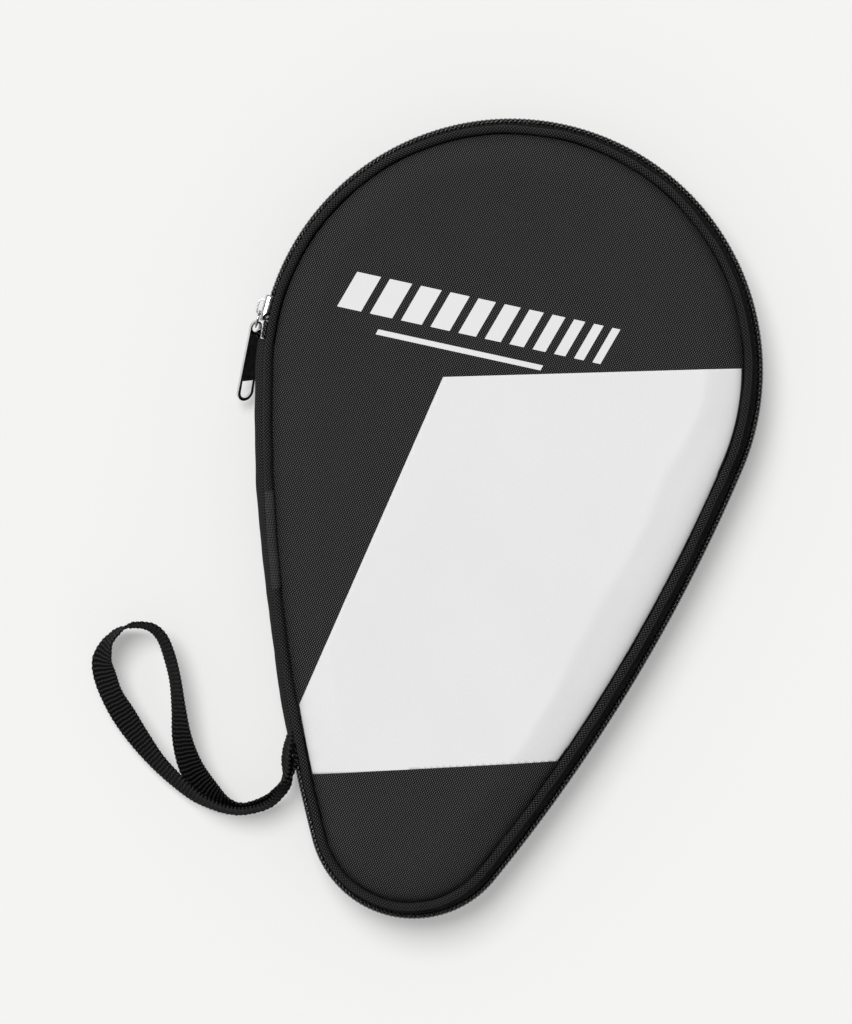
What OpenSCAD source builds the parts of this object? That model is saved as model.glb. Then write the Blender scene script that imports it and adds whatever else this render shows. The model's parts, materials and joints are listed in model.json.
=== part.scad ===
// Bat-shaped zip case for a table-tennis paddle.
// Two padded half shells are joined by a fabric spine on the left flank and
// closed by a coil zipper that runs round the rest of the edge.
// Millimetres. The case lies on its back: +Z up, +Y from the tip to the round
// head, origin on the flat back face below the centre of the head.

/* [Outline] */
// Radius of the round head, over the zipper coil
head_r = 93.3; // [90:0.1:100]
// Distance from the head centre to the tip centre
tip_y = 168; // [160:0.5:180]
// Radius of the tip
tip_r = 38.7; // [36:0.1:44]
// Radius of the long flank arcs
flank_r = 630; // [560:5:720]

/* [Thickness] */
// Height of the piping centre above the zipper plane
pipe_z = 11.6; // [11.6:0.1:13]
// Rise of the padded panel from its seam to its flat middle
dome_h = 5; // [4:0.1:5]
// Width of the rounded shoulder of the padded panel
dome_w = 16; // [14:0.5:18]
// Thickness of the woven outer fabric
cover_t = 0.8; // [0.6:0.1:0.9]

/* [Piping] */
// Inset of the piping centre from the outline
pipe_in = 5; // [4.8:0.1:5.2]
// Radius of the piping, outside its bias tape
pipe_r = 1.65; // [1.6:0.01:1.7]
// Radius of the cord inside the piping
cord_r = 1.17; // [1.0:0.01:1.17]

/* [Zipper] */
// Depth of one coil row, from the outline inwards
coil_d = 2; // [1.8:0.1:2]
// Height of one coil row
coil_h = 2.5; // [2.2:0.1:2.5]
// Half of the gap between the two coil rows
coil_gap = 0.25; // [0.2:0.01:0.3]
// Angle round the head at which the slider rests, closed
slider_at = 178; // [176:0.5:179]
// Length of the slider body
slider_l = 10; // [9.5:0.5:10.5]

/* [Pull] */
// Length of the pull from the link's wire to its end
pull_l = 29.5; // [27:0.5:30]
// Radius of the pull's free end
pull_r = 3.5; // [3.2:0.1:3.6]
// Thickness of the pull's frame
pull_t = 1; // [0.8:0.1:1]
// Roll of the hanging pull about its own length
pull_roll = 40; // [36:1:42]
// Droop of the hanging pull below the zipper plane
pull_droop = 22; // [20:1:23]
// Swing of the hanging pull in towards the case
pull_in = 4.3; // [3:0.1:4.5]
// Mid radius of the link ring
ring_r = 3.1; // [3:0.1:3.2]
// Radius of the link's wire
wire_r = 0.42; // [0.4:0.01:0.44]

/* [Spine] */
// Angle round the head at which the spine starts
spine_top = 186.2; // [186:0.1:187]
// Angle on the left flank arc at which the spine ends
spine_end = 203.4; // [202:0.1:204]

/* [Wrist strap] */
// Thickness of one layer of the webbing
web_t = 1.3; // [1.1:0.1:1.4]
// Width of the webbing
web_w = 11; // [10:0.5:12]

/* [Hidden] */

gap = 0.05;                         // assembly gap between layers
pipe_clear = 0.1;                   // from the piping to the panel's edge and to its flange
seam_in = pipe_in + pipe_r + pipe_clear;    // inset of the panel's edge
seam_z = pipe_z + 0.4;              // outer surface of the cover at its edge
zip_z = seam_z + dome_h;            // zipper plane, at half of the closed thickness
flange_z = pipe_z - pipe_r - pipe_clear;    // bottom of the piping's seam flange
flange_in = 11.2;                   // inset of the seam allowance's raw edge
lining_z = 11.5;                    // inner face of the lining's flat middle
lining_in = 12.8;                   // inset of the lining's edge
lining_t = 0.5;

// Colours of the parts that both half shells have, and of the metal and print
cover_colour = [0.07, 0.07, 0.075];
foam_colour = [0.2, 0.2, 0.21];
lining_colour = [0.12, 0.12, 0.13];
piping_tape_colour = [0.06, 0.06, 0.06];
piping_cord_colour = [0.85, 0.85, 0.83];
piping_sleeve_colour = [0.12, 0.12, 0.12];
binding_colour = [0.09, 0.09, 0.09];
zip_tape_colour = [0.08, 0.08, 0.08];
coil_colour = [0.03, 0.03, 0.03];
stop_colour = [0.75, 0.75, 0.77];
slider_colour = [0.85, 0.85, 0.87];
pull_colour = [0.8, 0.8, 0.82];
print_colour = [0.93, 0.93, 0.93];

// ---- outline ----
// The flank arcs touch the head and tip arcs from outside, so their centres lie
// at these distances from the head centre and the tip centre.
head_reach = flank_r - head_r;
tip_reach = flank_r - tip_r;
flank_y = -(head_reach * head_reach - tip_reach * tip_reach + tip_y * tip_y) / (2 * tip_y);
flank_x = sqrt(head_reach * head_reach - flank_y * flank_y);
head_dip = asin(flank_y / head_reach);          // the head arc ends this far below the X axis
tip_dip = asin((flank_y + tip_y) / tip_reach);  // the tip arc starts this far below it

// Arcs of the outline: centre, radius, start angle, end angle, steps in a pad's edge
head_arc = [[0, 0], head_r, -head_dip, 180 + head_dip, 34];
left_arc = [[flank_x, flank_y], flank_r, 180 + head_dip, 180 + tip_dip, 5];
tip_arc = [[0, -tip_y], tip_r, 180 + tip_dip, 360 - tip_dip, 24];
right_arc = [[-flank_x, flank_y], flank_r, -tip_dip, -head_dip, 5];
arcs = [head_arc, left_arc, tip_arc, right_arc];

// Points of the outline moved inwards by inset.
function outline(inset) = [
    for (arc = arcs, i = [0:arc[4] - 1])
        let (angle = arc[2] + (arc[3] - arc[2]) * i / arc[4])
            arc[0] + (arc[1] - inset) * [cos(angle), sin(angle)]];

// ---- sweeps round the edge ----
// A section's x is the distance outwards from the outline and its y is the height
// above the zipper plane.
slit = 0.35;  // trim of an arc's end, in degrees times its radius: 0.006 mm of arc
function arc_from(arc) = arc[2] + slit / arc[1];
function arc_to(arc) = arc[3] - slit / arc[1];

module sweep_arc(arc, from, to) {
    translate([arc[0][0], arc[0][1], zip_z]) rotate([0, 0, from])
        rotate_extrude(angle = to - from, $fn = arc[1] > 200 ? 1000 : 128)
            translate([arc[1], 0]) children();
}
module sweep_ring() {
    for (arc = arcs) sweep_arc(arc, arc_from(arc), arc_to(arc)) children();
}
// The zipper's run: from the top of the spine clockwise round to its end.
module sweep_zip(top) {
    sweep_arc(head_arc, arc_from(head_arc), top) children();
    sweep_arc(left_arc, spine_end + 0.02, arc_to(left_arc)) children();
    for (arc = [tip_arc, right_arc]) sweep_arc(arc, arc_from(arc), arc_to(arc)) children();
}
module sweep_spine() {
    sweep_arc(head_arc, spine_top, arc_to(head_arc)) children();
    sweep_arc(left_arc, arc_from(left_arc), spine_end) children();
}
// Turns a part of the front half into its twin on the back half.
module back_side() {
    translate([0, 0, 2 * zip_z]) mirror([0, 0, 1]) children();
}

// ---- pads ----
// Faces between two rings of n points, numbered by ring.
function band(ring, other, n) = [
    for (i = [0:n - 1])
        let (j = (i + 1) % n) [ring * n + i, ring * n + j, other * n + j, other * n + i]];

// A closed sheet or pad that covers the whole outline. Each list holds [inset, height
// above the zipper plane] from the edge inwards, and the last entry is the flat middle.
module pad(top, low) {
    n = len(outline(0));
    tops = len(top);
    rings = tops + len(low);
    points = [
        for (ring = concat(top, low), p = outline(ring[0])) [p[0], p[1], zip_z + ring[1]]];
    faces = concat(
        [for (r = [0:tops - 2]) each band(r + 1, r, n)],
        [[for (i = [n - 1:-1:0]) (tops - 1) * n + i]],
        [for (r = [tops:rings - 2]) each band(r, r + 1, n)],
        [[for (i = [0:n - 1]) (rings - 1) * n + i]],
        band(0, tops, n));
    polyhedron(points = points, faces = faces, convexity = 6);
}

// The domed surface of a panel, moved up by lift, from the distance from to the flat middle.
dome_steps = [0, 1.6, 3.6, 6.2, 9.6, dome_w];  // distances inwards from the panel's edge
function rise(d) = dome_h * (1 - pow(1 - min(d, dome_w) / dome_w, 2.4));
function dome(lift, from = 0) = [
    for (d = dome_steps) if (d >= from) [seam_in + d, seam_z + rise(d) + lift]];

// ---- parts shared by both half shells ----
module cover_half() {
    pad(dome(0), dome(-cover_t));
}
module foam_half() {
    foam_z = flange_z + 1.3;     // underside of the foam's edge
    well_in = lining_in - 0.1;   // inset of its step up to the lining
    pad(dome(-cover_t - gap, from = dome_steps[1]),
        [[seam_in + dome_steps[1], foam_z], [well_in, foam_z],
         [well_in, lining_z - 0.85], [18.2, lining_z + 0.6]]);
}
module lining_half() {
    edge_z = lining_z - 1.5;
    pad([[lining_in, edge_z + lining_t], [18.3, lining_z + lining_t]],
        [[lining_in, edge_z], [18.1, lining_z]]);
}

module pipe_circle(radius) {
    translate([-pipe_in, pipe_z]) circle(r = radius, $fn = 32);
}
// Bias tape round the cord, with its flat seam flange.
module piping_tape_half() {
    flange_t = 0.55;
    sweep_ring() difference() {
        union() {
            pipe_circle(pipe_r);
            translate([-flange_in, flange_z]) square([flange_in - pipe_in - 0.2, flange_t]);
        }
        pipe_circle(cord_r + gap);
    }
}
module piping_cord_half() {
    sweep_ring() pipe_circle(cord_r);
}
// Short tape sleeve round the piping on the spine side, open underneath.
module piping_sleeve_half() {
    sweep_arc(left_arc, 195, 198.3) difference() {
        pipe_circle(pipe_r + 0.3);
        pipe_circle(pipe_r + gap / 2);
        translate([-pipe_in - 3, pipe_z - 3]) square([6, 2.6]);
    }
}

// Zip tape and spine share these faces of their seam flanges and the bend beside them.
sewn_top = flange_z - gap;
sewn_low = flange_z - 0.65;
bend_x = -4.1;
bend_z = flange_z - 0.75;

// Zipper tape: upright behind the coil, then leaning in to its seam flange.
module zip_tape_section() {
    outer_x = -2.1 - gap;
    inner_x = -2.75;
    lean_z = 3.2;  // where the tape starts to lean
    polygon([
        [outer_x, coil_gap], [outer_x, lean_z], [bend_x, bend_z], [bend_x, sewn_top],
        [-flange_in, sewn_top], [-flange_in, sewn_low], [-4.75, sewn_low],
        [inner_x, lean_z], [inner_x, coil_gap]]);
}
// One row of the coil, as the envelope of its loops.
module coil_section() {
    top_z = coil_gap + coil_h;
    polygon([
        [-coil_d, coil_gap], [-0.35, coil_gap], [0, coil_gap + 0.4],
        [0, top_z - 0.5], [-0.5, top_z], [-coil_d, top_z]]);
}
// Binding folded over the raw edge of the seam allowance.
module binding_half() {
    sweep_ring() difference() {
        translate([-12.5, flange_z - 1.3]) square([4.2, 2.45]);
        translate([-flange_in - gap, flange_z - 0.7]) square([6, 1.3]);
    }
}

// ---- back half ----
module back_cover() { color(cover_colour) back_side() cover_half(); }
module back_foam() { color(foam_colour) back_side() foam_half(); }
module back_lining() { color(lining_colour) back_side() lining_half(); }
module back_piping_tape() { color(piping_tape_colour) back_side() piping_tape_half(); }
module back_piping_cord() { color(piping_cord_colour) back_side() piping_cord_half(); }
module back_piping_sleeve() { color(piping_sleeve_colour) back_side() piping_sleeve_half(); }
module back_seam_binding() { color(binding_colour) back_side() binding_half(); }
module back_zip_tape() {
    color(zip_tape_colour) back_side() sweep_zip(spine_top - 0.1) zip_tape_section();
}
module back_zip_coil() {
    color(coil_colour) back_side() sweep_zip(spine_top - 1.5) coil_section();
}

// ---- front half ----
module front_cover() { color(cover_colour) cover_half(); }
module front_foam() { color(foam_colour) foam_half(); }
module front_lining() { color(lining_colour) lining_half(); }
module front_piping_tape() { color(piping_tape_colour) piping_tape_half(); }
module front_piping_cord() { color(piping_cord_colour) piping_cord_half(); }
module front_piping_sleeve() { color(piping_sleeve_colour) piping_sleeve_half(); }
module front_seam_binding() { color(binding_colour) binding_half(); }
module front_zip_tape() {
    color(zip_tape_colour) sweep_zip(spine_top - 0.1) zip_tape_section();
}
// The front row starts beyond the parked slider, so that the cover can lift away from it.
module front_zip_coil() { color(coil_colour) sweep_zip(slider_at - 4.4) coil_section(); }

// ---- printed film on the front ----
film_lift = 0.03;  // clearance over the cover
film_t = 0.2;

// Corners [x, y] of a plain light field with straight edges, clipped to the panel.
field = [[-24, -8], [96, 22], [96, -160], [48, -137], [-70, -165], [-70, -124], [-48, -128]];
module front_colour_block() {
    color(print_colour) intersection() {
        pad(dome(film_lift + film_t), dome(film_lift));
        translate([0, 0, zip_z + 5]) linear_extrude(height = zip_z) polygon(field);
    }
}

module slanted_bar(x, y, width, height, slant) {
    polygon([
        [x, y], [x + width, y], [x + width + slant, y + height], [x + slant, y + height]]);
}
// A row of slanted bars that get narrower to the right, over a thin rule.
module front_bar_print() {
    color(print_colour) translate([0, 0, 2 * zip_z + film_lift])
        linear_extrude(height = film_t) {
            for (i = [0:10])
                slanted_bar(x = -66 + 12.6 * i - 0.3 * i * i, y = 9,
                    width = 9 - 0.6 * i, height = 14, slant = 4.5);
            slanted_bar(x = -50, y = 2, width = 62, height = 2, slant = 0.6);
        }
}

// ---- spine ----
// Upper half of the gusset's section, from its inner face round the flange to its outer face
spine_upper = [
    [-0.5, 1.6], [-1.3, 4.5], [-4.9, sewn_low], [-flange_in, sewn_low],
    [-flange_in, sewn_top], [bend_x, sewn_top], [bend_x, bend_z], [-0.4, 4.5], [0.4, 1.6]];
// Fabric gusset that hinges the two half shells.
module spine_gusset() {
    lower = [for (i = [len(spine_upper) - 1:-1:0]) [spine_upper[i][0], -spine_upper[i][1]]];
    color([0.08, 0.08, 0.085]) sweep_spine() polygon(concat(spine_upper, lower));
}

// ---- zipper stops ----
// A block round the end of the back coil row.
module zip_top_stop() {
    outer_x = 0.2;
    top_z = coil_gap + coil_h;
    color(stop_colour) back_side() sweep_arc(head_arc, spine_top - 1.4, spine_top - 0.4)
        polygon([
            [-coil_d, coil_gap], [outer_x, coil_gap], [outer_x, top_z], [-coil_d, top_z]]);
}
// A plate outside the spine, across the zipper plane.
module zip_bottom_stop() {
    color(stop_colour) sweep_arc(left_arc, spine_end - 0.3, spine_end - 0.1)
        polygon([[0.5, -3], [1.3, -3], [1.3, 3], [0.5, 3]]);
}

// ---- slider ----
// Local frame: x outwards, y the way the slider closes, z up; its origin is on the outline.
module at_slider() {
    rotate([0, 0, slider_at]) translate([head_r, 0, zip_z]) children();
}
// Plate across x, with cut corners; its height changes from the tail to the nose.
module wedge_plate(length, tail, nose, thick) {
    cut = 0.8;
    end = length / 2;
    rotate([90, 0, 90]) linear_extrude(height = thick) polygon([
        [-end, -tail / 2 + cut], [-end + cut, -tail / 2],
        [end - cut, -nose / 2], [end, -nose / 2 + cut],
        [end, nose / 2 - cut], [end - cut, nose / 2],
        [-end + cut, tail / 2], [-end, tail / 2 - cut]]);
}
module slider_body() {
    color(slider_colour) at_slider() {
        // Outer and inner plates
        translate([0.25, 0, 0]) wedge_plate(length = slider_l, tail = 7.4, nose = 8.8, thick = 1.2);
        translate([-4.2, 0, 0]) wedge_plate(length = slider_l - 1, tail = 5.2, nose = 5.6, thick = 1);
        // Thin web that joins the plates near the nose
        translate([-3.3, 1.6, -0.15]) cube([3.7, 3.2, 0.3]);
        // Lower and upper flanges on the outer plate
        translate([-1.9, -4.4, -4.1]) cube([2.4, 8.8, 0.7]);
        translate([-1, -4, 3.3]) cube([1.5, 8, 0.7]);
    }
}

tunnel_x = 2.2;  // centres of the arch's rounded ends, outwards
tunnel_y = 1.6;  // and to either side of the slider's middle
// Outline of the arch at a radius round those centres, from from_x outwards.
module arch(radius, from_x) {
    for (side = [-1, 1]) translate([tunnel_x, side * tunnel_y]) circle(r = radius, $fn = 48);
    translate([from_x, -tunnel_y]) square([tunnel_x + radius - from_x, 2 * tunnel_y]);
    translate([from_x, -tunnel_y - radius])
        square([tunnel_x - from_x, 2 * (tunnel_y + radius)]);
}
// Arch along the slider's outer plate, with the tunnel that holds the link.
module slider_crown() {
    crown_h = 2.2;
    base_x = 1.5;  // its foot, just clear of the outer plate
    color(slider_colour) at_slider() translate([0, 0, -crown_h / 2])
        linear_extrude(height = crown_h) difference() {
            arch(radius = 1.5, from_x = base_x);
            arch(radius = 0.8, from_x = 0);
            translate([0, -4]) square([base_x, 8]);
        }
}
module pull_link() {
    color(pull_colour) at_slider() translate([tunnel_x, tunnel_y + ring_r, 0])
        rotate([0, 90, 0]) rotate_extrude($fn = 64)
            translate([ring_r, 0]) circle(r = wire_r, $fn = 24);
}

// ---- pull ----
// Local frame: origin on the link's wire at the centre of the eye, y along the pull,
// z across its thickness.
opening_half = 2.3;  // half width of both openings where they face each other
module at_pull() {
    at_slider() translate([tunnel_x, tunnel_y + 2 * ring_r, 0])
        rotate([0, 0, pull_in]) rotate([-pull_droop, 0, 0]) rotate([0, -pull_roll, 0])
            children();
}
// The long opening next to the eye.
module pull_window(inset) {
    end_y = 20.2;
    strip = 0.2;
    half = opening_half - inset;
    hull() {
        translate([0, 5]) circle(r = 1.9 - inset, $fn = 32);
        translate([-half, end_y - inset - strip]) square([2 * half, strip]);
    }
}
module pull_tab() {
    end_y = pull_l - pull_r;  // centre of the rounded free end
    color(pull_colour) at_pull() translate([0, 0, -pull_t / 2])
        linear_extrude(height = pull_t) difference() {
            hull() {
                circle(r = 2.5, $fn = 48);
                translate([0, end_y]) circle(r = pull_r, $fn = 48);
            }
            circle(r = 1.75, $fn = 48);
            pull_window(0);
            // Opening at the free end
            hull() {
                translate([0, end_y]) circle(r = opening_half, $fn = 32);
                translate([-opening_half, 21.4]) square([2 * opening_half, 0.4]);
            }
        }
}
module pull_inlay() {
    recess = 0.12;  // below each face of the frame
    color([0.02, 0.02, 0.02]) at_pull() translate([0, 0, -pull_t / 2 + recess])
        linear_extrude(height = pull_t - 2 * recess) pull_window(gap);
}

// ---- wrist strap ----
// The webbing stands on edge: out along the doubled neck, round the open loop and back.
// Centre line of the neck and of the loop: [x, y]
neck = [
    [-52.6, -151.8], [-51, -159], [-50.8, -166.5],
    [-55.5, -176.4], [-66.5, -181.6], [-77, -180.2]];
loop_mid = [
    [-101.1, -162.1], [-119.6, -147.2], [-126.7, -135.5], [-124.2, -126.2],
    [-113.6, -122.4], [-102.9, -128.4], [-95.3, -141.9], [-86.4, -161]];
web_low = 4;                 // height of the webbing's lower edge
layer_off = web_t / 2 + 0.08;  // offset of each neck layer from the neck's centre line
neck_last = len(neck) - 1;

function unit(v) = v / norm(v);
function left_of(v) = [-v[1], v[0]];
// Left-hand normal of a line at point i.
function normal_at(line, i) =
    left_of(unit(line[min(i + 1, len(line) - 1)] - line[max(i - 1, 0)]));
// The layers spread apart over the last two points of the neck.
function neck_side(i, off) =
    neck[i] + normal_at(neck, i) * off * (i > 3 ? 1 + (i - 3) * 0.45 : 1);
strap_line = concat(
    [for (i = [0:neck_last]) neck_side(i, layer_off)],
    loop_mid,
    [for (i = [neck_last:-1:0]) neck_side(i, -layer_off)]);

// Catmull-Rom curve through a line's points, at t from point i to the next.
function spline(line, i, t) =
    let (a = line[max(i - 1, 0)],
         b = line[i],
         c = line[i + 1],
         d = line[min(i + 2, len(line) - 1)])
    0.5 * (2 * b + (c - a) * t + (2 * a - 5 * b + 4 * c - d) * t * t
        + (3 * b - a - 3 * c + d) * t * t * t);
// Four steps to a span; the curve stops one step short of the last point.
strap_points = [
    for (i = [0:len(strap_line) - 2], k = [0:3]) spline(strap_line, i, k / 4)];
function strap_edge(off) = [
    for (i = [0:len(strap_points) - 1]) strap_points[i] + normal_at(strap_points, i) * off];

module wrist_strap() {
    rim = strap_edge(-web_t / 2);
    color([0.04, 0.04, 0.04]) translate([0, 0, web_low]) linear_extrude(height = web_w)
        polygon(concat(strap_edge(web_t / 2), [for (i = [len(rim) - 1:-1:0]) rim[i]]));
}
// Four upright rows of thread on the neck's face away from the case.
module strap_bar_tacks() {
    margin = 1;  // from the webbing's edges
    span = neck[1] - neck[0];
    color([0.05, 0.05, 0.05]) for (k = [0:3])
        let (foot = neck[0] + span * (0.3 + k * 0.16))
            translate([foot[0], foot[1], web_low + margin])
                rotate([0, 0, atan2(span[1], span[0])])
                    translate([-0.3, -web_t - 0.95, 0]) cube([0.6, 0.5, web_w - 2 * margin]);
}

back_cover();
back_foam();
back_lining();
back_piping_tape();
back_piping_cord();
back_zip_tape();
back_zip_coil();
back_seam_binding();
back_piping_sleeve();
spine_gusset();
zip_top_stop();
zip_bottom_stop();
front_cover();
front_foam();
front_lining();
front_piping_tape();
front_piping_cord();
front_zip_tape();
front_zip_coil();
front_seam_binding();
front_piping_sleeve();
front_colour_block();
front_bar_print();
slider_body();
slider_crown();
pull_link();
pull_tab();
pull_inlay();
wrist_strap();
strap_bar_tacks();
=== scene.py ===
"""Padded case with a zip round its rim, a pull and a wrist strap, lying on its back.

The round head is centred on the origin, the narrow tip points to -Y and the front faces +Z.
The spine, where the two halves stay joined, is on the -X side. Lengths are in mm unless a name
says otherwise; the scene is in metres. `s` is always an arc length along the outline,
anticlockwise from the right-hand end of the head arc.
"""
import json
import math
from contextlib import contextmanager
from functools import cached_property

import bmesh
import bpy
import numpy as np
from mathutils import Matrix, Vector
from mathutils.bvhtree import BVHTree

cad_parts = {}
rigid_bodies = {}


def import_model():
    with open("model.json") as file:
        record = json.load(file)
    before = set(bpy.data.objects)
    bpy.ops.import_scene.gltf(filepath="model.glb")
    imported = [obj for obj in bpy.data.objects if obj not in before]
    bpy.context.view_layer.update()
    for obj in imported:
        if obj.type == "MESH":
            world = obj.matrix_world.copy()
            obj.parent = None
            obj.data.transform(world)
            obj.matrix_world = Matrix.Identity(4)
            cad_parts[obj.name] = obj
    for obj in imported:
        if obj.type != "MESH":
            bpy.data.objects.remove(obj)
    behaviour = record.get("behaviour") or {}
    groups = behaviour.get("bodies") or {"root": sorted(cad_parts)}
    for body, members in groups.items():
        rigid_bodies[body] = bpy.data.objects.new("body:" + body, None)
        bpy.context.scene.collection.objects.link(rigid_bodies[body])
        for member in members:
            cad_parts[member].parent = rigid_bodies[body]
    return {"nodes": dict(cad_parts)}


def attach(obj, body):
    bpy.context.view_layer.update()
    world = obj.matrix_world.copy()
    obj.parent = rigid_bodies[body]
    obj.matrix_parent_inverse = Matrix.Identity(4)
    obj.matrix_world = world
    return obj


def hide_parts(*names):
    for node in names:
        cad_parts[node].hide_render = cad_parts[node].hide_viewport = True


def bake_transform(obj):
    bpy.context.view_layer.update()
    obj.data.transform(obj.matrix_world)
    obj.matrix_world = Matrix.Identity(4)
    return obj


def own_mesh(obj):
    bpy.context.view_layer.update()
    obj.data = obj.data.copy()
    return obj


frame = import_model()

MM = 0.001
COIL_RANDOM = np.random.default_rng(7)
HALVES = ("front", "back")
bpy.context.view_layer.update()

# ------------------------------------------------------------------ driving dimensions
HEAD_R = 93.3
TIP_Y, TIP_R = 168.0, 38.7      # the tip arc is centred on (0, -TIP_Y)
FLANK_R = 630.0
Z0 = 17.0                       # height of the zipper plane
LEAN = 0.12                     # shift of the front half to -X, per mm of height
LEAN_START, LEAN_RISE = 1.0, 14

PIPE_Z, PIPE_IN, PIPE_R = 11.6, 4.95, 1.45  # height off the zipper plane, inset, radius
SEAM_IN = 6.6                   # inset of the padded panels' sewn edge
SEAM_Z = PIPE_Z + 0.4
DOME_H, DOME_W = 5.0, 23.0      # rise of the pad, and how far in it levels out

WARP_PITCH, WEFT_PITCH = 0.88, 1.38         # cover threads
WEB_W = 12.0                                # width of the strap webbing
WEB_RIB, WEB_DOT = 1.55, 0.95               # rib pitch along it, thread pitch across it
WEB_BOW, WEB_BOW_PERIOD = 0.08, 6.0         # the ribs wander this far along the webbing

EYE = (-19.5, -57.8, 2400.0)                # camera position
VIEW_HEIGHT = 378.9                         # height of the view at the zipper plane
CAMERA_TURN = math.radians(12.38)

# ------------------------------------------------------------------ outline
# Four tangent arcs. The flank centres follow from touching both the head and the tip.
TO_HEAD, TO_TIP = FLANK_R - HEAD_R, FLANK_R - TIP_R
FLANK_Y = -(TO_HEAD * TO_HEAD - TO_TIP * TO_TIP + TIP_Y ** 2) / (2 * TIP_Y)
FLANK_X = math.sqrt(TO_HEAD * TO_HEAD - FLANK_Y ** 2)
A_HEAD = math.degrees(math.asin(FLANK_Y / TO_HEAD))
A_TIP = math.degrees(math.asin((FLANK_Y + TIP_Y) / TO_TIP))
# centre, radius, start and end angle: head, -X flank, tip, +X flank
ARCS = [((0.0, 0.0), HEAD_R, -A_HEAD, 180 + A_HEAD),
        ((FLANK_X, FLANK_Y), FLANK_R, 180 + A_HEAD, 180 + A_TIP),
        ((0.0, -TIP_Y), TIP_R, 180 + A_TIP, 360 - A_TIP),
        ((-FLANK_X, FLANK_Y), FLANK_R, -A_TIP, -A_HEAD)]
STARTS = np.concatenate([[0], np.cumsum([math.radians(end - start) * radius
                                         for _, radius, start, end in ARCS])])
TOTAL = STARTS[-1]


def s_head(degrees):
    return math.radians(degrees + A_HEAD) * HEAD_R


def s_flank(degrees):
    """Arc length at an angle on the -X flank."""
    return STARTS[1] + math.radians(degrees - 180 - A_HEAD) * FLANK_R


def rim(s):
    """Points on the outline and outward normals at the arc lengths s."""
    s = np.mod(np.asarray(s, float), TOTAL)
    points = np.zeros(s.shape + (2,))
    outward = np.zeros(s.shape + (2,))
    for (centre, radius, start, _), s0, s1 in zip(ARCS, STARTS[:-1], STARTS[1:]):
        here = (s >= s0) & (s <= s1)
        angle = np.radians(start) + (s[here] - s0) / radius
        outward[here, 0], outward[here, 1] = np.cos(angle), np.sin(angle)
        points[here] = np.array(centre) + outward[here] * radius
    return points, outward


def waves(s, length, height, seed):
    """Smooth closed noise along the outline, in three octaves."""
    random = np.random.default_rng(seed)
    total = np.zeros_like(s, float)
    for octave in range(3):
        cycles = max(1, int(TOTAL / length * (1.7 ** octave)))
        for extra in range(3):
            phase = random.uniform(0, 6.28)
            wave = np.sin(2 * np.pi * (cycles + extra) * s / TOTAL + phase)
            total += wave * height / (1.6 ** octave) / 2.2
    return total


def lean(z):
    return LEAN * np.clip(z - Z0 - LEAN_START, 0, LEAN_RISE)


def skew(points):
    """The front half sits a little to the -X side of the back half."""
    points = points.copy()
    points[:, 0] -= lean(points[:, 2])
    return points


# ------------------------------------------------------------------ mesh helpers
def set_uv(mesh, loop_uv):
    layer = mesh.uv_layers.get("uvmm") or mesh.uv_layers.new(name="uvmm")
    layer.data.foreach_set("uv", np.asarray(loop_uv, np.float32).ravel())


def loop_vertices(mesh):
    loops = np.zeros(len(mesh.loops), np.int32)
    mesh.loops.foreach_get("vertex_index", loops)
    return loops


def add_mesh(name, points, faces, material, uv=None, smooth=True):
    """Mesh object from points in mm; uv holds one entry per point."""
    mesh = bpy.data.meshes.new(name)
    mesh.from_pydata((np.asarray(points) * MM).tolist(), [], faces)
    if uv is not None:
        set_uv(mesh, uv[loop_vertices(mesh)])
    if smooth:
        mesh.polygons.foreach_set("use_smooth", [True] * len(mesh.polygons))
    mesh.update()
    piece = bpy.data.objects.new(name, mesh)
    bpy.context.scene.collection.objects.link(piece)
    mesh.materials.append(material)
    return piece


def grid_faces(rows, columns, close_rows, close_columns, flip=False):
    row, column = np.meshgrid(np.arange(rows if close_rows else rows - 1),
                              np.arange(columns if close_columns else columns - 1), indexing="ij")
    row2, column2 = (row + 1) % rows, (column + 1) % columns
    faces = np.stack([row * columns + column, row2 * columns + column,
                      row2 * columns + column2, row * columns + column2], -1).reshape(-1, 4)
    return (faces[:, ::-1] if flip else faces).tolist()


def end_caps(rows, columns, flip=False):
    first = list(range(columns))
    last = [(rows - 1) * columns + column for column in first]
    return [first, last[::-1]] if flip else [first[::-1], last]


def circle(sides):
    return np.linspace(0, 2 * np.pi, sides, endpoint=False)


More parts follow.
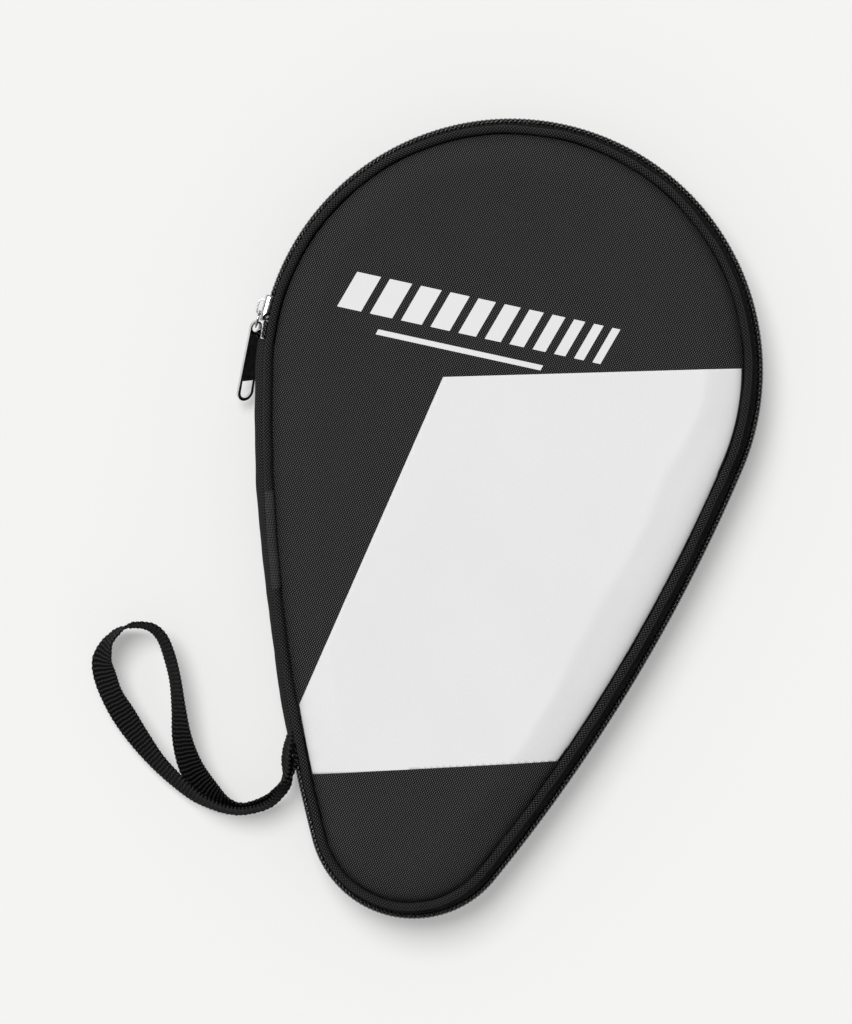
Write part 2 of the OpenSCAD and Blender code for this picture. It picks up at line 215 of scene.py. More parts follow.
def ring_sweep(name, section, s, material, closed=False, mirror=False):
    """Sweeps a closed section along the outline.

    section(s) gives (stations, points, 2): outwards, and height off the zipper plane.
    A mirrored piece belongs to the back half; any other leans with the front.
    """
    profile = section(s)
    edge, outward = rim(s)
    rows, columns = profile.shape[:2]
    flat = edge[:, None, :] + outward[:, None, :] * profile[:, :, 0:1]
    z = Z0 + (-profile[:, :, 1] if mirror else profile[:, :, 1])
    points = np.concatenate([flat, z[:, :, None]], -1).reshape(-1, 3)
    if not mirror:
        points = skew(points)
    faces = grid_faces(rows, columns, closed, True, flip=not mirror)
    if not closed:
        faces += end_caps(rows, columns, flip=not mirror)
    piece = add_mesh(name, points, faces, material)

    middle = profile[rows // 2]
    girth = np.concatenate([[0], np.cumsum(np.linalg.norm(np.diff(middle, axis=0), axis=1))])
    full_girth = girth[-1] + np.linalg.norm(middle[0] - middle[-1])
    mesh = piece.data
    loops = loop_vertices(mesh)
    row, column = loops // columns, loops % columns
    face = np.repeat(np.arange(len(mesh.polygons)), [f.loop_total for f in mesh.polygons])
    last_row = np.zeros(len(mesh.polygons), int)
    np.maximum.at(last_row, face, row)
    last_column = np.zeros(len(mesh.polygons), int)
    np.maximum.at(last_column, face, column)
    # the quads that close a loop run on past the end of the map
    u, v = s[row], girth[column]
    if closed:
        u = u + np.where((row == 0) & (last_row[face] == rows - 1), TOTAL, 0)
    v = v + np.where((column == 0) & (last_column[face] == columns - 1), full_girth, 0)
    set_uv(mesh, np.stack([u, v], -1))
    return piece


def tube(name, path, radius, sides, material, closed=False):
    """Round tube along a 3-D path, with a frame that doesn't twist."""
    path = np.asarray(path, float)
    count = len(path)
    if closed:
        tangent = np.roll(path, -1, 0) - np.roll(path, 1, 0)
    else:
        tangent = np.gradient(path, axis=0)
    tangent /= np.linalg.norm(tangent, axis=1)[:, None]
    first = np.zeros_like(tangent)
    across = np.array([0, 0, 1.0]) if abs(tangent[0, 2]) < 0.8 else np.array([1.0, 0, 0])
    current = np.cross(tangent[0], across)
    for i in range(count):
        current = current - tangent[i] * (current @ tangent[i])
        current /= math.sqrt(current @ current)
        first[i] = current
    second = np.cross(tangent, first)
    angles = circle(sides)
    points = path[:, None] + radius * (first[:, None] * np.cos(angles)[None, :, None]
                                       + second[:, None] * np.sin(angles)[None, :, None])
    faces = grid_faces(count, sides, closed, True)
    if not closed:
        faces += end_caps(count, sides)
    steps = np.linalg.norm(np.diff(path, axis=0), axis=1)
    along = np.concatenate([[0], np.cumsum(steps)])
    uv = np.stack([np.repeat(along, sides), np.tile(angles * radius, count)], -1)
    return add_mesh(name, points.reshape(-1, 3), faces, material, uv)


def join(name, pieces):
    for other in bpy.context.scene.objects:
        other.select_set(False)
    for piece in pieces:
        piece.select_set(True)
    bpy.context.view_layer.objects.active = pieces[0]
    bpy.ops.object.join()
    pieces[0].name = name
    return pieces[0]


def apply_modifiers(piece):
    graph = bpy.context.evaluated_depsgraph_get()
    mesh = bpy.data.meshes.new_from_object(piece.evaluated_get(graph),
                                           preserve_all_data_layers=True, depsgraph=graph)
    piece.modifiers.clear()
    piece.data = mesh


def subdivide(piece):
    modifier = piece.modifiers.new("sub", "SUBSURF")
    modifier.levels = modifier.render_levels = 1
    apply_modifiers(piece)


def thicken(piece, thickness, offset=-1):
    """Adds thickness in mm: inwards at offset -1, outwards at 1."""
    modifier = piece.modifiers.new("thick", "SOLIDIFY")
    modifier.thickness = thickness * MM
    modifier.offset = offset
    apply_modifiers(piece)


@contextmanager
def editing(piece):
    mesh = bmesh.new()
    mesh.from_mesh(piece.data)
    yield mesh
    mesh.to_mesh(piece.data)
    mesh.free()


def face_outwards(piece):
    with editing(piece) as mesh:
        bmesh.ops.recalc_face_normals(mesh, faces=mesh.faces)


def read_points(mesh):
    flat = np.zeros(len(mesh.vertices) * 3, np.float32)
    mesh.vertices.foreach_get("co", flat)
    return flat.reshape(-1, 3).astype(float) / MM


def set_points(piece, points):
    flat = (np.asarray(points) * MM).astype(np.float32).ravel()
    piece.data.vertices.foreach_set("co", flat)
    piece.data.update()


def planar_uv(piece):
    """Maps a piece by its x and y."""
    set_uv(piece.data, read_points(piece.data)[:, :2][loop_vertices(piece.data)])


def fit(piece, body=None, replaces=()):
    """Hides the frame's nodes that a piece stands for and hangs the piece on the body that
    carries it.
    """
    if replaces:
        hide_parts(*replaces)
    if body:
        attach(piece, body)


# ------------------------------------------------------------------ materials
INPUTS = {"base": "Base Color", "rough": "Roughness", "metal": "Metallic",
          "spec": "Specular IOR Level", "sheen": "Sheen Weight", "sheen_rough": "Sheen Roughness",
          "coat": "Coat Weight", "coat_rough": "Coat Roughness",
          "glow": "Emission Color", "glow_strength": "Emission Strength"}
LINT = 1.0          # overall strength of the lint and handling marks


def grey(value):
    return (value,) * 3


def is_socket(value):
    return isinstance(value, bpy.types.NodeSocket)


class Shader:
    """A principled material. Its u and v are in mm; heights and masks are sockets."""

    def __init__(self, name):
        self.material = bpy.data.materials.new(name)
        self.material.use_nodes = True
        self.tree = self.material.node_tree
        self.tree.nodes.clear()
        output = self.node("ShaderNodeOutputMaterial")
        self.surface = self.node("ShaderNodeBsdfPrincipled")
        self.tree.links.new(self.surface.outputs[0], output.inputs[0])

    def node(self, kind):
        return self.tree.nodes.new(kind)

    def put(self, socket, value):
        """Links a socket or sets a value; a colour of three gets its alpha."""
        if is_socket(value):
            self.tree.links.new(value, socket)
        else:
            socket.default_value = value + (1,) if isinstance(value, tuple) else value

    @cached_property
    def uv(self):
        node = self.node("ShaderNodeUVMap")
        node.uv_map = "uvmm"
        return node.outputs[0]

    @cached_property
    def axes(self):
        node = self.node("ShaderNodeSeparateXYZ")
        self.put(node.inputs[0], self.uv)
        return node.outputs[0], node.outputs[1]

    @property
    def u(self):
        return self.axes[0]

    @property
    def v(self):
        return self.axes[1]

    def object_space(self):
        return self.node("ShaderNodeTexCoord").outputs["Object"]

    def math(self, operation, first, second=0.0, third=0.0):
        node = self.node("ShaderNodeMath")
        node.operation = operation
        for socket, value in zip(node.inputs, (first, second, third)):
            self.put(socket, value)
        return node.outputs[0]

    def add(self, first, second):
        return self.math("ADD", first, second)

    def mul(self, first, second):
        return self.math("MULTIPLY", first, second)

    def sin(self, value, period, phase=0.0):
        return self.math("SINE", self.math("MULTIPLY_ADD", value, 2 * math.pi / period, phase))

    def noise(self, scale, detail=3.0, rough=0.55, space=None, stretch=None):
        space = self.uv if space is None else space
        if stretch is not None:
            mapping = self.node("ShaderNodeMapping")
            mapping.inputs["Scale"].default_value = stretch
            self.put(mapping.inputs[0], space)
            space = mapping.outputs[0]
        node = self.node("ShaderNodeTexNoise")
        settings = {"Scale": scale, "Detail": detail, "Roughness": rough, "Vector": space}
        for name, value in settings.items():
            self.put(node.inputs[name], value)
        return node.outputs[0]

    def mix(self, share, first, second):
        node = self.node("ShaderNodeMix")
        node.data_type = "RGBA"
        node.clamp_factor = True
        self.put(node.inputs[0], share)
        self.put(node.inputs[6], first)
        self.put(node.inputs[7], second)
        return node.outputs[2]

    def ramp(self, value, low, high, at_low=0.0, at_high=1.0):
        node = self.node("ShaderNodeMapRange")
        node.clamp = True
        for socket, setting in zip(node.inputs, (value, low, high, at_low, at_high)):
            self.put(socket, setting)
        return node.outputs[0]

    def bump(self, height, depth, strength=1.0):
        """Relief of the given depth in mm."""
        node = self.node("ShaderNodeBump")
        node.inputs["Strength"].default_value = strength
        node.inputs["Distance"].default_value = depth * MM
        self.put(node.inputs["Height"], height)
        self.put(self.surface.inputs["Normal"], node.outputs[0])

    def turned(self, degrees):
        """The u and v axes turned by an angle."""
        cos, sin = math.cos(math.radians(degrees)), math.sin(math.radians(degrees))
        along = self.add(self.mul(self.u, cos), self.mul(self.v, sin))
        across = self.add(self.mul(self.u, -sin), self.mul(self.v, cos))
        return along, across

    def uneven(self, height, least, scale, rough):
        """Threads of uneven thickness: height times (least + noise)."""
        return self.mul(height, self.add(least, self.noise(scale=scale, rough=rough)))

    def worn(self, colour, share, lint):
        """Lays faint lint and handling marks over a colour."""
        big = self.ramp(self.noise(scale=0.05, detail=4.0, rough=0.6), low=0.42, high=0.72)
        fine = self.ramp(self.noise(scale=0.9, detail=2.0, rough=0.6), low=0.55, high=0.8)
        marks = self.mul(self.add(self.mul(big, 0.6), self.mul(fine, 0.4)), LINT)
        return self.mix(self.mul(marks, share), colour, grey(lint))

    def finish(self, **settings):
        for name, value in settings.items():
            self.put(self.surface.inputs[INPUTS[name]], value)
        return self.material


def cover_material():
    """Plain weave, its threads along both axes of the case."""
    t = Shader("woven_cover")
    drift = t.mul(t.noise(scale=0.05, detail=2.0), 0.5)     # threads wander by up to 0.5 mm
    warp = t.sin(t.add(t.u, drift), period=WARP_PITCH)
    weft = t.sin(t.add(t.v, drift), period=WEFT_PITCH)
    height = t.mul(warp, weft)
    # thread thickness: at least 0.6, and up to 0.8 more from noise
    height = t.mul(height, t.add(0.6, t.mul(t.noise(scale=0.8, rough=0.6), 0.8)))
    crest = t.ramp(height, low=0.12, high=0.8)
    # painted highlight on the thread crests and painted shade between the threads: the colour
    # follows the weave's height
    colour = t.mix(crest, (0.002, 0.002, 0.0021), (0.122, 0.122, 0.125))
    colour = t.worn(colour, share=0.1, lint=0.05)
    t.bump(height, depth=0.14, strength=0.8)
    rough = t.ramp(crest, low=0, high=1, at_low=0.66, at_high=0.55)
    return t.finish(base=colour, rough=rough, spec=0.1)


def twill_material(name, period, angle, dark, light, depth=0.13, rough=0.66, spec=0.07):
    """Ribbed cloth: ribs across the turned axis, broken by a fainter step."""
    t = Shader(name)
    along, across = t.turned(angle)
    rib = t.sin(along, period=period)
    step = t.sin(across, period=period * 1.25)
    height = t.add(t.mul(rib, 0.7), t.mul(t.mul(rib, step), 0.6))   # shares of rib and step
    height = t.uneven(height, least=0.45, scale=0.9, rough=0.65)
    # painted highlight on the rib crests and painted shade in the hollows: the colour follows the
    # ribs' height
    colour = t.mix(t.ramp(height, low=0.05, high=1.0), dark, light)
    colour = t.worn(colour, share=0.12, lint=0.05)
    t.bump(height, depth=depth, strength=0.85)
    return t.finish(base=colour, rough=rough, spec=spec, sheen_rough=0.35)


def herringbone_material():
    t = Shader("gusset")
    fold = t.math("PINGPONG", t.v, 3.4)                     # the slant turns back every 3.4 mm
    rib = t.sin(t.add(t.u, t.mul(fold, 0.75)), period=1.12)
    step = t.sin(t.v, period=1.5)
    height = t.add(t.mul(rib, 0.8), t.mul(t.mul(rib, step), 0.35))  # shares of rib and step
    height = t.uneven(height, least=0.5, scale=0.8, rough=0.6)
    # painted highlight on the rib crests and painted shade in the hollows: the colour follows the
    # ribs' height
    colour = t.mix(t.ramp(height, low=0.1, high=0.8), grey(0.0028), (0.07, 0.07, 0.072))
    colour = t.worn(colour, share=0.12, lint=0.04)
    t.bump(height, depth=0.2, strength=0.9)
    return t.finish(base=colour, rough=0.7, spec=0.04)


def sleeve_material():
    """Dots on a grid turned by 45 degrees."""
    t = Shader("piping_sleeve")
    along, across = t.turned(45)
    height = t.mul(t.sin(along, period=0.95), t.sin(across, period=0.8))
    height = t.uneven(height, least=0.5, scale=0.9, rough=0.6)
    t.bump(height, depth=0.12, strength=0.85)
    # painted highlight on the dot tops and painted shade between them: the colour follows the
    # dots' height
    colour = t.mix(t.ramp(height, low=0.05, high=0.8), grey(0.006), grey(0.13))
    colour = t.worn(colour, share=0.15, lint=0.08)
    return t.finish(base=colour, rough=0.7, spec=0.06)


def coil_material():
    t = Shader("zip_coil")
    cloud = t.noise(scale=0.6)
    colour = t.mix(t.ramp(cloud, low=0.3, high=0.8), grey(0.003), (0.008, 0.008, 0.0085))
    t.bump(t.noise(scale=3.0, detail=2.0), depth=0.02, strength=0.4)
    rough = t.ramp(cloud, low=0.2, high=0.8, at_low=0.2, at_high=0.32)
    return t.finish(base=colour, rough=rough, spec=0.7, coat=0.3, coat_rough=0.15)


def metal_material(name, base, rough):
    """Brushed metal with darker spots and soiling."""
    t = Shader(name)
    space = t.object_space()
    brush = t.noise(scale=1400.0, rough=0.6, space=space, stretch=(1.0, 0.18, 1.0))
    spots = t.noise(scale=260.0, detail=4.0, rough=0.6, space=space)
    soil = t.ramp(t.noise(scale=90.0, detail=4.0, rough=0.65, space=space), low=0.5, high=0.7)
    spotted, soiled = (tuple(x * shade for x in base) for shade in (0.8, 0.45))
    colour = t.mix(t.ramp(spots, low=0.45, high=0.75), base, spotted)
    colour = t.mix(t.mul(soil, 0.35), colour, soiled)
    t.bump(brush, depth=0.01, strength=0.3)
    rough = t.ramp(t.add(brush, spots), low=0.7, high=1.4,
                   at_low=rough * 0.7, at_high=rough * 1.6)
    return t.finish(base=colour, metal=1.0, rough=rough)


def inlay_material():
    t = Shader("pull_inlay")
    grain = t.noise(scale=900.0, space=t.object_space())
    colour = t.mix(t.ramp(grain, low=0.35, high=0.75), grey(0.006), grey(0.02))
    t.bump(grain, depth=0.03, strength=0.5)
    rough = t.ramp(grain, low=0.3, high=0.8, at_low=0.3, at_high=0.5)
    return t.finish(base=colour, rough=rough, spec=0.5)


def webbing_material():
    """Ribs across the webbing, made of dots that shift by half a pitch from rib to rib."""
    t = Shader("webbing")
    along = t.add(t.u, t.mul(t.sin(t.v, period=WEB_BOW_PERIOD), WEB_BOW))
    rib = t.sin(along, period=WEB_RIB, phase=-math.pi / 2)
    rib_number = t.math("FLOOR", t.mul(along, 1 / WEB_RIB))
    shifted = t.add(t.v, t.mul(rib_number, WEB_DOT / 2))
    dots = t.math("ABSOLUTE", t.sin(shifted, period=2 * WEB_DOT))
    fine = t.noise(scale=1.6, detail=4.0, rough=0.65)
    # ribs keep 0.12 of their height between the dots
    crest = t.mul(t.ramp(rib, low=-0.1, high=0.9),
                  t.add(0.12, t.mul(t.ramp(dots, low=0.25, high=0.95), 0.88)))
    height = t.add(crest, t.mul(fine, 0.5))
    # painted highlight on the rib and dot crests, painted shade between them: the colour follows
    # the crest mask
    light = t.mul(crest, t.add(0.4, fine))
    colour = t.mix(light, (0.0016, 0.0016, 0.0017), (0.042, 0.042, 0.043))
    colour = t.worn(colour, share=0.06, lint=0.03)
    t.bump(height, depth=0.12, strength=0.8)
    return t.finish(base=colour, rough=0.6, spec=0.03)


def film_material():
    """Pale print with the cover's weave showing faintly through."""
    t = Shader("print_film")
    weave = t.mul(t.sin(t.u, period=WARP_PITCH), t.sin(t.v, period=WEFT_PITCH))
    cloud = t.noise(scale=0.02, detail=4.0, rough=0.6)
    speck = t.ramp(t.noise(scale=1.1, rough=0.7), low=0.66, high=0.8)
    colour = t.mix(t.ramp(cloud, low=0.3, high=0.7), grey(0.735), grey(0.765))
    weave_share = t.mul(t.ramp(weave, low=0.2, high=1.0), 0.04)
    colour = t.mix(weave_share, colour, (0.62, 0.62, 0.63))
    colour = t.mix(t.mul(speck, 0.08), colour, grey(0.58))
    t.bump(t.add(weave, t.mul(t.noise(scale=0.4), 0.8)), depth=0.03, strength=0.6)
    rough = t.ramp(cloud, low=0.3, high=0.7, at_low=0.5, at_high=0.62)
    return t.finish(base=colour, rough=rough, spec=0.2)


def lining_material():
    """Brushed nap over a faint diagonal rib."""
    t = Shader("lining")
    nap = t.noise(scale=2.5, detail=4.0, rough=0.7, stretch=(1, 0.35, 1))
    cloud = t.noise(scale=0.06, detail=4.0, rough=0.6)
    height = t.add(t.mul(t.sin(t.add(t.u, t.v), period=1.0), 0.25), nap)
    # partly painted highlight where the nap is raised, partly uneven tone from the cloud noise
    light = t.ramp(t.add(nap, t.mul(cloud, 0.7)), low=0.6, high=1.15)
    colour = t.mix(light, (0.008, 0.008, 0.0085), (0.045, 0.045, 0.047))
    t.bump(height, depth=0.12, strength=0.8)
    return t.finish(base=colour, rough=0.85, spec=0.12, sheen=0.12, sheen_rough=0.5)


def thread_material():
    t = Shader("thread")
    ply = t.sin(t.add(t.u, t.mul(t.v, 0.8)), period=0.45)   # plies wind at a slope of 0.8
    # painted highlight on the ply crests and painted shade between the plies
    light = t.ramp(t.add(ply, t.noise(scale=2.0, detail=2.0)), low=-0.4, high=1.5)
    colour = t.mix(light, grey(0.006), grey(0.04))
    t.bump(ply, depth=0.04, strength=0.7)
    return t.finish(base=colour, rough=0.6, spec=0.08)


COVER = cover_material()
# the light tones below are painted highlights on the rib crests, the dark ones painted shade in
# the hollows
PIPING = twill_material("piping_tape", period=0.84, angle=42,
                        dark=grey(0.002), light=(0.085, 0.085, 0.087))
SLEEVE = sleeve_material()
TAPE = twill_material("zip_tape", period=0.8, angle=90, dark=grey(0.003),
                      light=(0.022, 0.022, 0.023), depth=0.1, rough=0.8, spec=0.03)
COIL = coil_material()
GUSSET = herringbone_material()
BINDING = twill_material("binding", period=0.9, angle=0,
                         dark=grey(0.006), light=(0.05, 0.05, 0.05), rough=0.7)
NICKEL = metal_material("nickel", base=(0.72, 0.72, 0.73), rough=0.13)
STOP_METAL = metal_material("zip_metal", base=(0.05, 0.05, 0.052), rough=0.35)
INLAY = inlay_material()
WEBBING = webbing_material()
FILM = film_material()
LINING = lining_material()
THREAD = thread_material()

# ------------------------------------------------------------------ padded panels
PANEL_RINGS = [0.0, 0.35, 0.8, 1.4, 2.2, 3.2, 4.6, 6.0, 7.6, 9.4, 11.4, 13.6, 16.0, 19.0]
LINING_RINGS = [0.0, 0.8, 1.8, 3.2, 5.0, 7.5, 10.5, 14.0, 18.0]
INNER_RINGS = 16                    # rings between the last one listed and the middle line
RING_SHARE = 0.62                   # the listed rings take at most this share of a row
HEAD_PULL, TIP_PULL = 0.6, 0.3      # rows end at this share of the edge's distance in y


def panel_rows(inset, step):
    """Edge points of a panel, and for each the point on the middle line its row runs to."""
    count = int(TOTAL / step)
    points, outward = rim(np.mod(np.arange(count) * TOTAL / count + s_head(90), TOTAL))
    edge = points - outward * inset
    y = edge[:, 1]
    y_head = -(HEAD_R - inset) * math.sin(math.radians(A_HEAD))
    y_tip = -TIP_Y - (TIP_R - inset) * math.sin(math.radians(A_TIP))
    end_head = y_head * HEAD_PULL
    end_tip = -TIP_Y + (y_tip + TIP_Y) * TIP_PULL
    flank = end_head + (end_tip - end_head) * (y - y_head) / (y_tip - y_head)
    end_y = np.where(y >= y_head, y * HEAD_PULL,
                     np.where(y <= y_tip, -TIP_Y + (y + TIP_Y) * TIP_PULL, flank))
    return edge, np.stack([np.zeros(count), end_y], -1)


def edge_distance(flat, inset):
    """Distance of points inwards from the line at that inset, and s of the nearest rim point."""
    best = np.full(len(flat), 1e9)
    nearest_s = np.zeros(len(flat))
    for (centre, radius, start, end), s0 in zip(ARCS, STARTS[:-1]):
        offset = flat - np.array(centre)
        angle = np.degrees(np.arctan2(offset[:, 1], offset[:, 0]))
        middle = (start + end) / 2
        angle = middle + (np.mod(angle - middle + 180, 360) - 180)
        inside = (angle >= start - 1e-6) & (angle <= end + 1e-6)
        dist = np.where(inside, (radius - inset) - np.linalg.norm(offset, axis=1), 1e9)
        closer = dist < best
        best = np.where(closer, dist, best)
        nearest_s = np.where(closer, s0 + np.radians(angle - start) * radius, nearest_s)
    return np.maximum(best, 0), nearest_s


def panel_mesh(name, inset, height, rings, material, step):
    """Sheet inside the outline; height(distance, s, flat points) gives z."""
    edge, middle = panel_rows(inset, step)
    length = np.linalg.norm(middle - edge, axis=1)
    shares = [np.minimum(ring / length, RING_SHARE * ring / rings[-1]) for ring in rings]
    last = shares[-1]
    shares += [last + (1 - last) * k / INNER_RINGS for k in range(1, INNER_RINGS + 1)]
    shares = np.stack(shares, 1)
    flat = (edge[:, None, :] + (middle - edge)[:, None, :] * shares[:, :, None]).reshape(-1, 2)
    z = height(*edge_distance(flat, inset), flat)
    faces = grid_faces(len(edge), shares.shape[1], True, False, flip=True)
    panel = add_mesh(name, np.concatenate([flat, z[:, None]], -1), faces, material)
    with editing(panel) as mesh:
        bmesh.ops.remove_doubles(mesh, verts=mesh.verts, dist=0.6 * MM)
        bmesh.ops.dissolve_degenerate(mesh, edges=mesh.edges, dist=0.05 * MM)
        bmesh.ops.recalc_face_normals(mesh, faces=mesh.faces)
        if sum(f.normal.z * f.calc_area() for f in mesh.faces) < 0:
            bmesh.ops.reverse_faces(mesh, faces=mesh.faces)
    return panel


def front_height(dist, _s, _flat):
    """The sewn edge dips under the piping, then the pad rises."""
    dome = DOME_H * (1 - (1 - np.minimum(dist, DOME_W) / DOME_W) ** 3.4)
    z = SEAM_Z + dome - 1.7 * np.exp(-dist / 0.85)
    return Z0 + (z - 0.35 * np.clip(dist / 10, 0, 1))


def swell(piece, pinned, frames=18, pressure=4.0, limit=0.9):
    """Swells a sheet by a short cloth run; no point moves by more than about limit mm."""
    rest = read_points(piece.data)
    group = piece.vertex_groups.new(name="pin")
    for weight in np.unique(pinned):
        if weight > 0:
            group.add([int(i) for i in np.nonzero(pinned == weight)[0]],
                      float(weight), "REPLACE")
    modifier = piece.modifiers.new("cloth", "CLOTH")
    cloth = modifier.settings
    cloth.quality = 6
    cloth.mass = 0.35
    cloth.tension_stiffness = 18
    cloth.compression_stiffness = 12
    cloth.shear_stiffness = 6
    cloth.bending_stiffness = 2.5
    cloth.use_pressure = True
    cloth.uniform_pressure_force = pressure
    cloth.vertex_group_mass = "pin"
    cloth.pin_stiffness = 1.0
    cloth.shrink_min = -0.006
    cloth.effector_weights.gravity = 0
    modifier.collision_settings.use_collision = False
    modifier.collision_settings.use_self_collision = False
    modifier.point_cache.frame_start = 1
    modifier.point_cache.frame_end = frames
    scene = bpy.context.scene
    for number in range(1, frames + 1):
        scene.frame_set(number)
    graph = bpy.context.evaluated_depsgraph_get()
    move = read_points(piece.evaluated_get(graph).data) - rest
    piece.modifiers.clear()
    scene.frame_set(1)
    move[~np.isfinite(move).all(1)] = 0
    edges = np.zeros(len(piece.data.edges) * 2, np.int32)
    piece.data.edges.foreach_get("vertices", edges)
    edges = edges.reshape(-1, 2)
    count = np.bincount(edges.ravel(), minlength=len(move))[:, None] + 1.0
    # even the movement out, so that only the broad swell is left
    for _ in range(24):
        total = move.copy()
        np.add.at(total, edges[:, 0], move[edges[:, 1]])
        np.add.at(total, edges[:, 1], move[edges[:, 0]])
        move = total / count
    length = np.linalg.norm(move, axis=1)[:, None] + 1e-9
    set_points(piece, rest + move / length * limit * np.tanh(length / limit))
    piece.vertex_groups.clear()


def padded_panels():
    """Front panel, and the back one as its mirror image."""
    front = panel_mesh("front_panel", SEAM_IN, front_height, PANEL_RINGS, COVER, step=2.5)
    dist, _ = edge_distance(read_points(front.data)[:, :2], SEAM_IN)
    swell(front, np.where(dist < 0.4, 1.0, np.where(dist < 1.2, 0.4, 0.0)))
    subdivide(front)
    points = read_points(front.data)
    x, y = points[:, 0], points[:, 1]
    dist, s = edge_distance(points[:, :2], SEAM_IN)
    # seam puckers, and slow waves of the foam under the cloth
    pucker = waves(s, 11.0, 0.05, seed=3) * np.exp(-((dist - 2.0) / 3.2) ** 2)
    slow = (0.16 * np.sin(x / 23.0 + 0.6) * np.sin(y / 31.0 + 1.1)
            + 0.12 * np.sin(x / 11.0 + y / 14.0))
    points[:, 2] += pucker + slow * np.clip(dist / 12, 0, 1)
    points[:, 2] = np.minimum(points[:, 2], Z0 + 17.0)
    set_points(front, skew(points))
    planar_uv(front)

    back = front.copy()
    back.data = front.data.copy()
    back.name = "back_panel"
    bpy.context.scene.collection.objects.link(back)
    points[:, 2] = 2 * Z0 - points[:, 2]
    set_points(back, points)
    back.data.flip_normals()
    for side, panel in zip(HALVES, (front, back)):
        thicken(panel, 0.7)
        fit(panel, f"{side}_shell", [f"{side}_cover", f"{side}_foam"])
    return front


front_panel = padded_panels()

# ------------------------------------------------------------------ printed film
# straight edges of the light field, each through two points
FIELD_EDGES = [((-24, -8), (96, 22)), ((-24, -8), (-48, -128)), ((48, -136.8), (-70, -169.4))]
FIELD_INSIDE = (20.0, -80.0)        # a point that stays
FIELD_MARGIN = 0.5                  # gap to the panel's sewn edge
BAR_SHIFT = np.array([1.6, 0])      # prints sit this far to -X of their drawn place


def surface_tree(piece):
    mesh = bmesh.new()
    mesh.from_mesh(piece.data)
    tree = BVHTree.FromBMesh(mesh)
    mesh.free()
    return tree


def drop(tree, flat, lift):
    """Points on a surface seen from above, lifted off it."""
    points = []
    for x, y in flat:
        hit, normal, _, _ = tree.ray_cast(Vector((x * MM, y * MM, 0.06)), Vector((0, 0, -1)))
        if hit is None:     # a ray may slip between two faces
            hit, normal = Vector((x * MM, y * MM, (Z0 + 16) * MM)), Vector((0, 0, 1))
        points.append(hit + normal * lift * MM)
    return np.array([(p.x / MM, p.y / MM, p.z / MM) for p in points])


def film_field():
    """The light field: the panel's own skin, cut by straight lines and lifted off the cloth."""
    field = bpy.data.objects.new("print_field", front_panel.data.copy())
    bpy.context.scene.collection.objects.link(field)
    with editing(field) as mesh:
        hidden = [f for f in mesh.faces if f.normal.z < 0.05]
        bmesh.ops.delete(mesh, geom=hidden, context="FACES")
        for start, end in FIELD_EDGES:
            along = np.array(end, float) - np.array(start, float)
            outward = np.array([-along[1], along[0]]) / np.linalg.norm(along)
            if outward @ (np.array(FIELD_INSIDE) - np.array(start)) > 0:
                outward = -outward
            bmesh.ops.bisect_plane(
                mesh, geom=list(mesh.verts) + list(mesh.edges) + list(mesh.faces), dist=1e-7,
                plane_co=(start[0] * MM, start[1] * MM, 0),
                plane_no=(outward[0], outward[1], 0), clear_outer=True)
        mesh.normal_update()
        for vertex in mesh.verts:
            vertex.co += vertex.normal * (0.09 * MM)
    points = read_points(field.data)
    points[:, 0] += lean(points[:, 2])      # measured as if the half didn't lean
    dist, _ = edge_distance(points[:, :2], SEAM_IN)
    with editing(field) as mesh:
        mesh.verts.ensure_lookup_table()
        outside = [mesh.verts[i] for i in np.nonzero(dist < FIELD_MARGIN)[0]]
        bmesh.ops.delete(mesh, geom=outside, context="VERTS")
    thicken(field, 0.06, offset=1)
    planar_uv(field)
    field.data.materials.clear()
    field.data.materials.append(FILM)
    fit(field, "front_shell", ["front_colour_block"])


def film_patch(tree, corners, rows, columns):
    """A small four-sided patch of film laid on the panel."""
    corners = np.array(corners, float)
    u, v = np.meshgrid(np.linspace(0, 1, rows), np.linspace(0, 1, columns), indexing="ij")
    weights = ((1 - u) * (1 - v), u * (1 - v), u * v, (1 - u) * v)
    flat = sum(corner * weight[..., None] for corner, weight in zip(corners, weights))
    flat = flat.reshape(-1, 2) - BAR_SHIFT
    points = np.concatenate([drop(tree, flat, 0.15), drop(tree, flat, 0.06)])
    count = len(flat)
    top = grid_faces(rows, columns, False, False)
    bottom = [[i + count for i in face[::-1]] for face in top]
    border = ([row * columns for row in range(rows)]
              + [(rows - 1) * columns + column for column in range(1, columns)]
              + [row * columns + columns - 1 for row in range(rows - 2, -1, -1)]
              + list(range(columns - 2, 0, -1)))
    walls = [[i, i + count, j + count, j] for i, j in zip(border, border[1:] + border[:1])]
    patch = add_mesh("patch", points, top + bottom + walls, FILM, points[:, :2], smooth=False)
    face_outwards(patch)
    return patch


def film_bars():
    """Eleven slanted bars that narrow towards +X, over one thin line."""
    tree = surface_tree(front_panel)
    low, high, slant = 9, 23, 4.5
    bars = []
    for i in range(11):
        width, x = 9 - 0.6 * i, -66 + 12.6 * i - 0.3 * i * i
        corners = [(x, low), (x + width, low), (x + width + slant, high), (x + slant, high)]
        bars.append(film_patch(tree, corners, rows=8, columns=9))
    line = [(-50, 2), (12, 2), (12.6, 4), (-49.4, 4)]
    bars.append(film_patch(tree, line, rows=40, columns=4))
    fit(join("print_bars", bars), "front_shell", ["front_bar_print"])


film_field()
film_bars()

# ------------------------------------------------------------------ piping, binding, lining
S_RING = np.arange(0, 960) * TOTAL / 960
PIPING_SEED = {"front": 21, "back": 31}
SLEEVE_FROM, SLEEVE_TO = s_flank(195.0), s_flank(198.3)
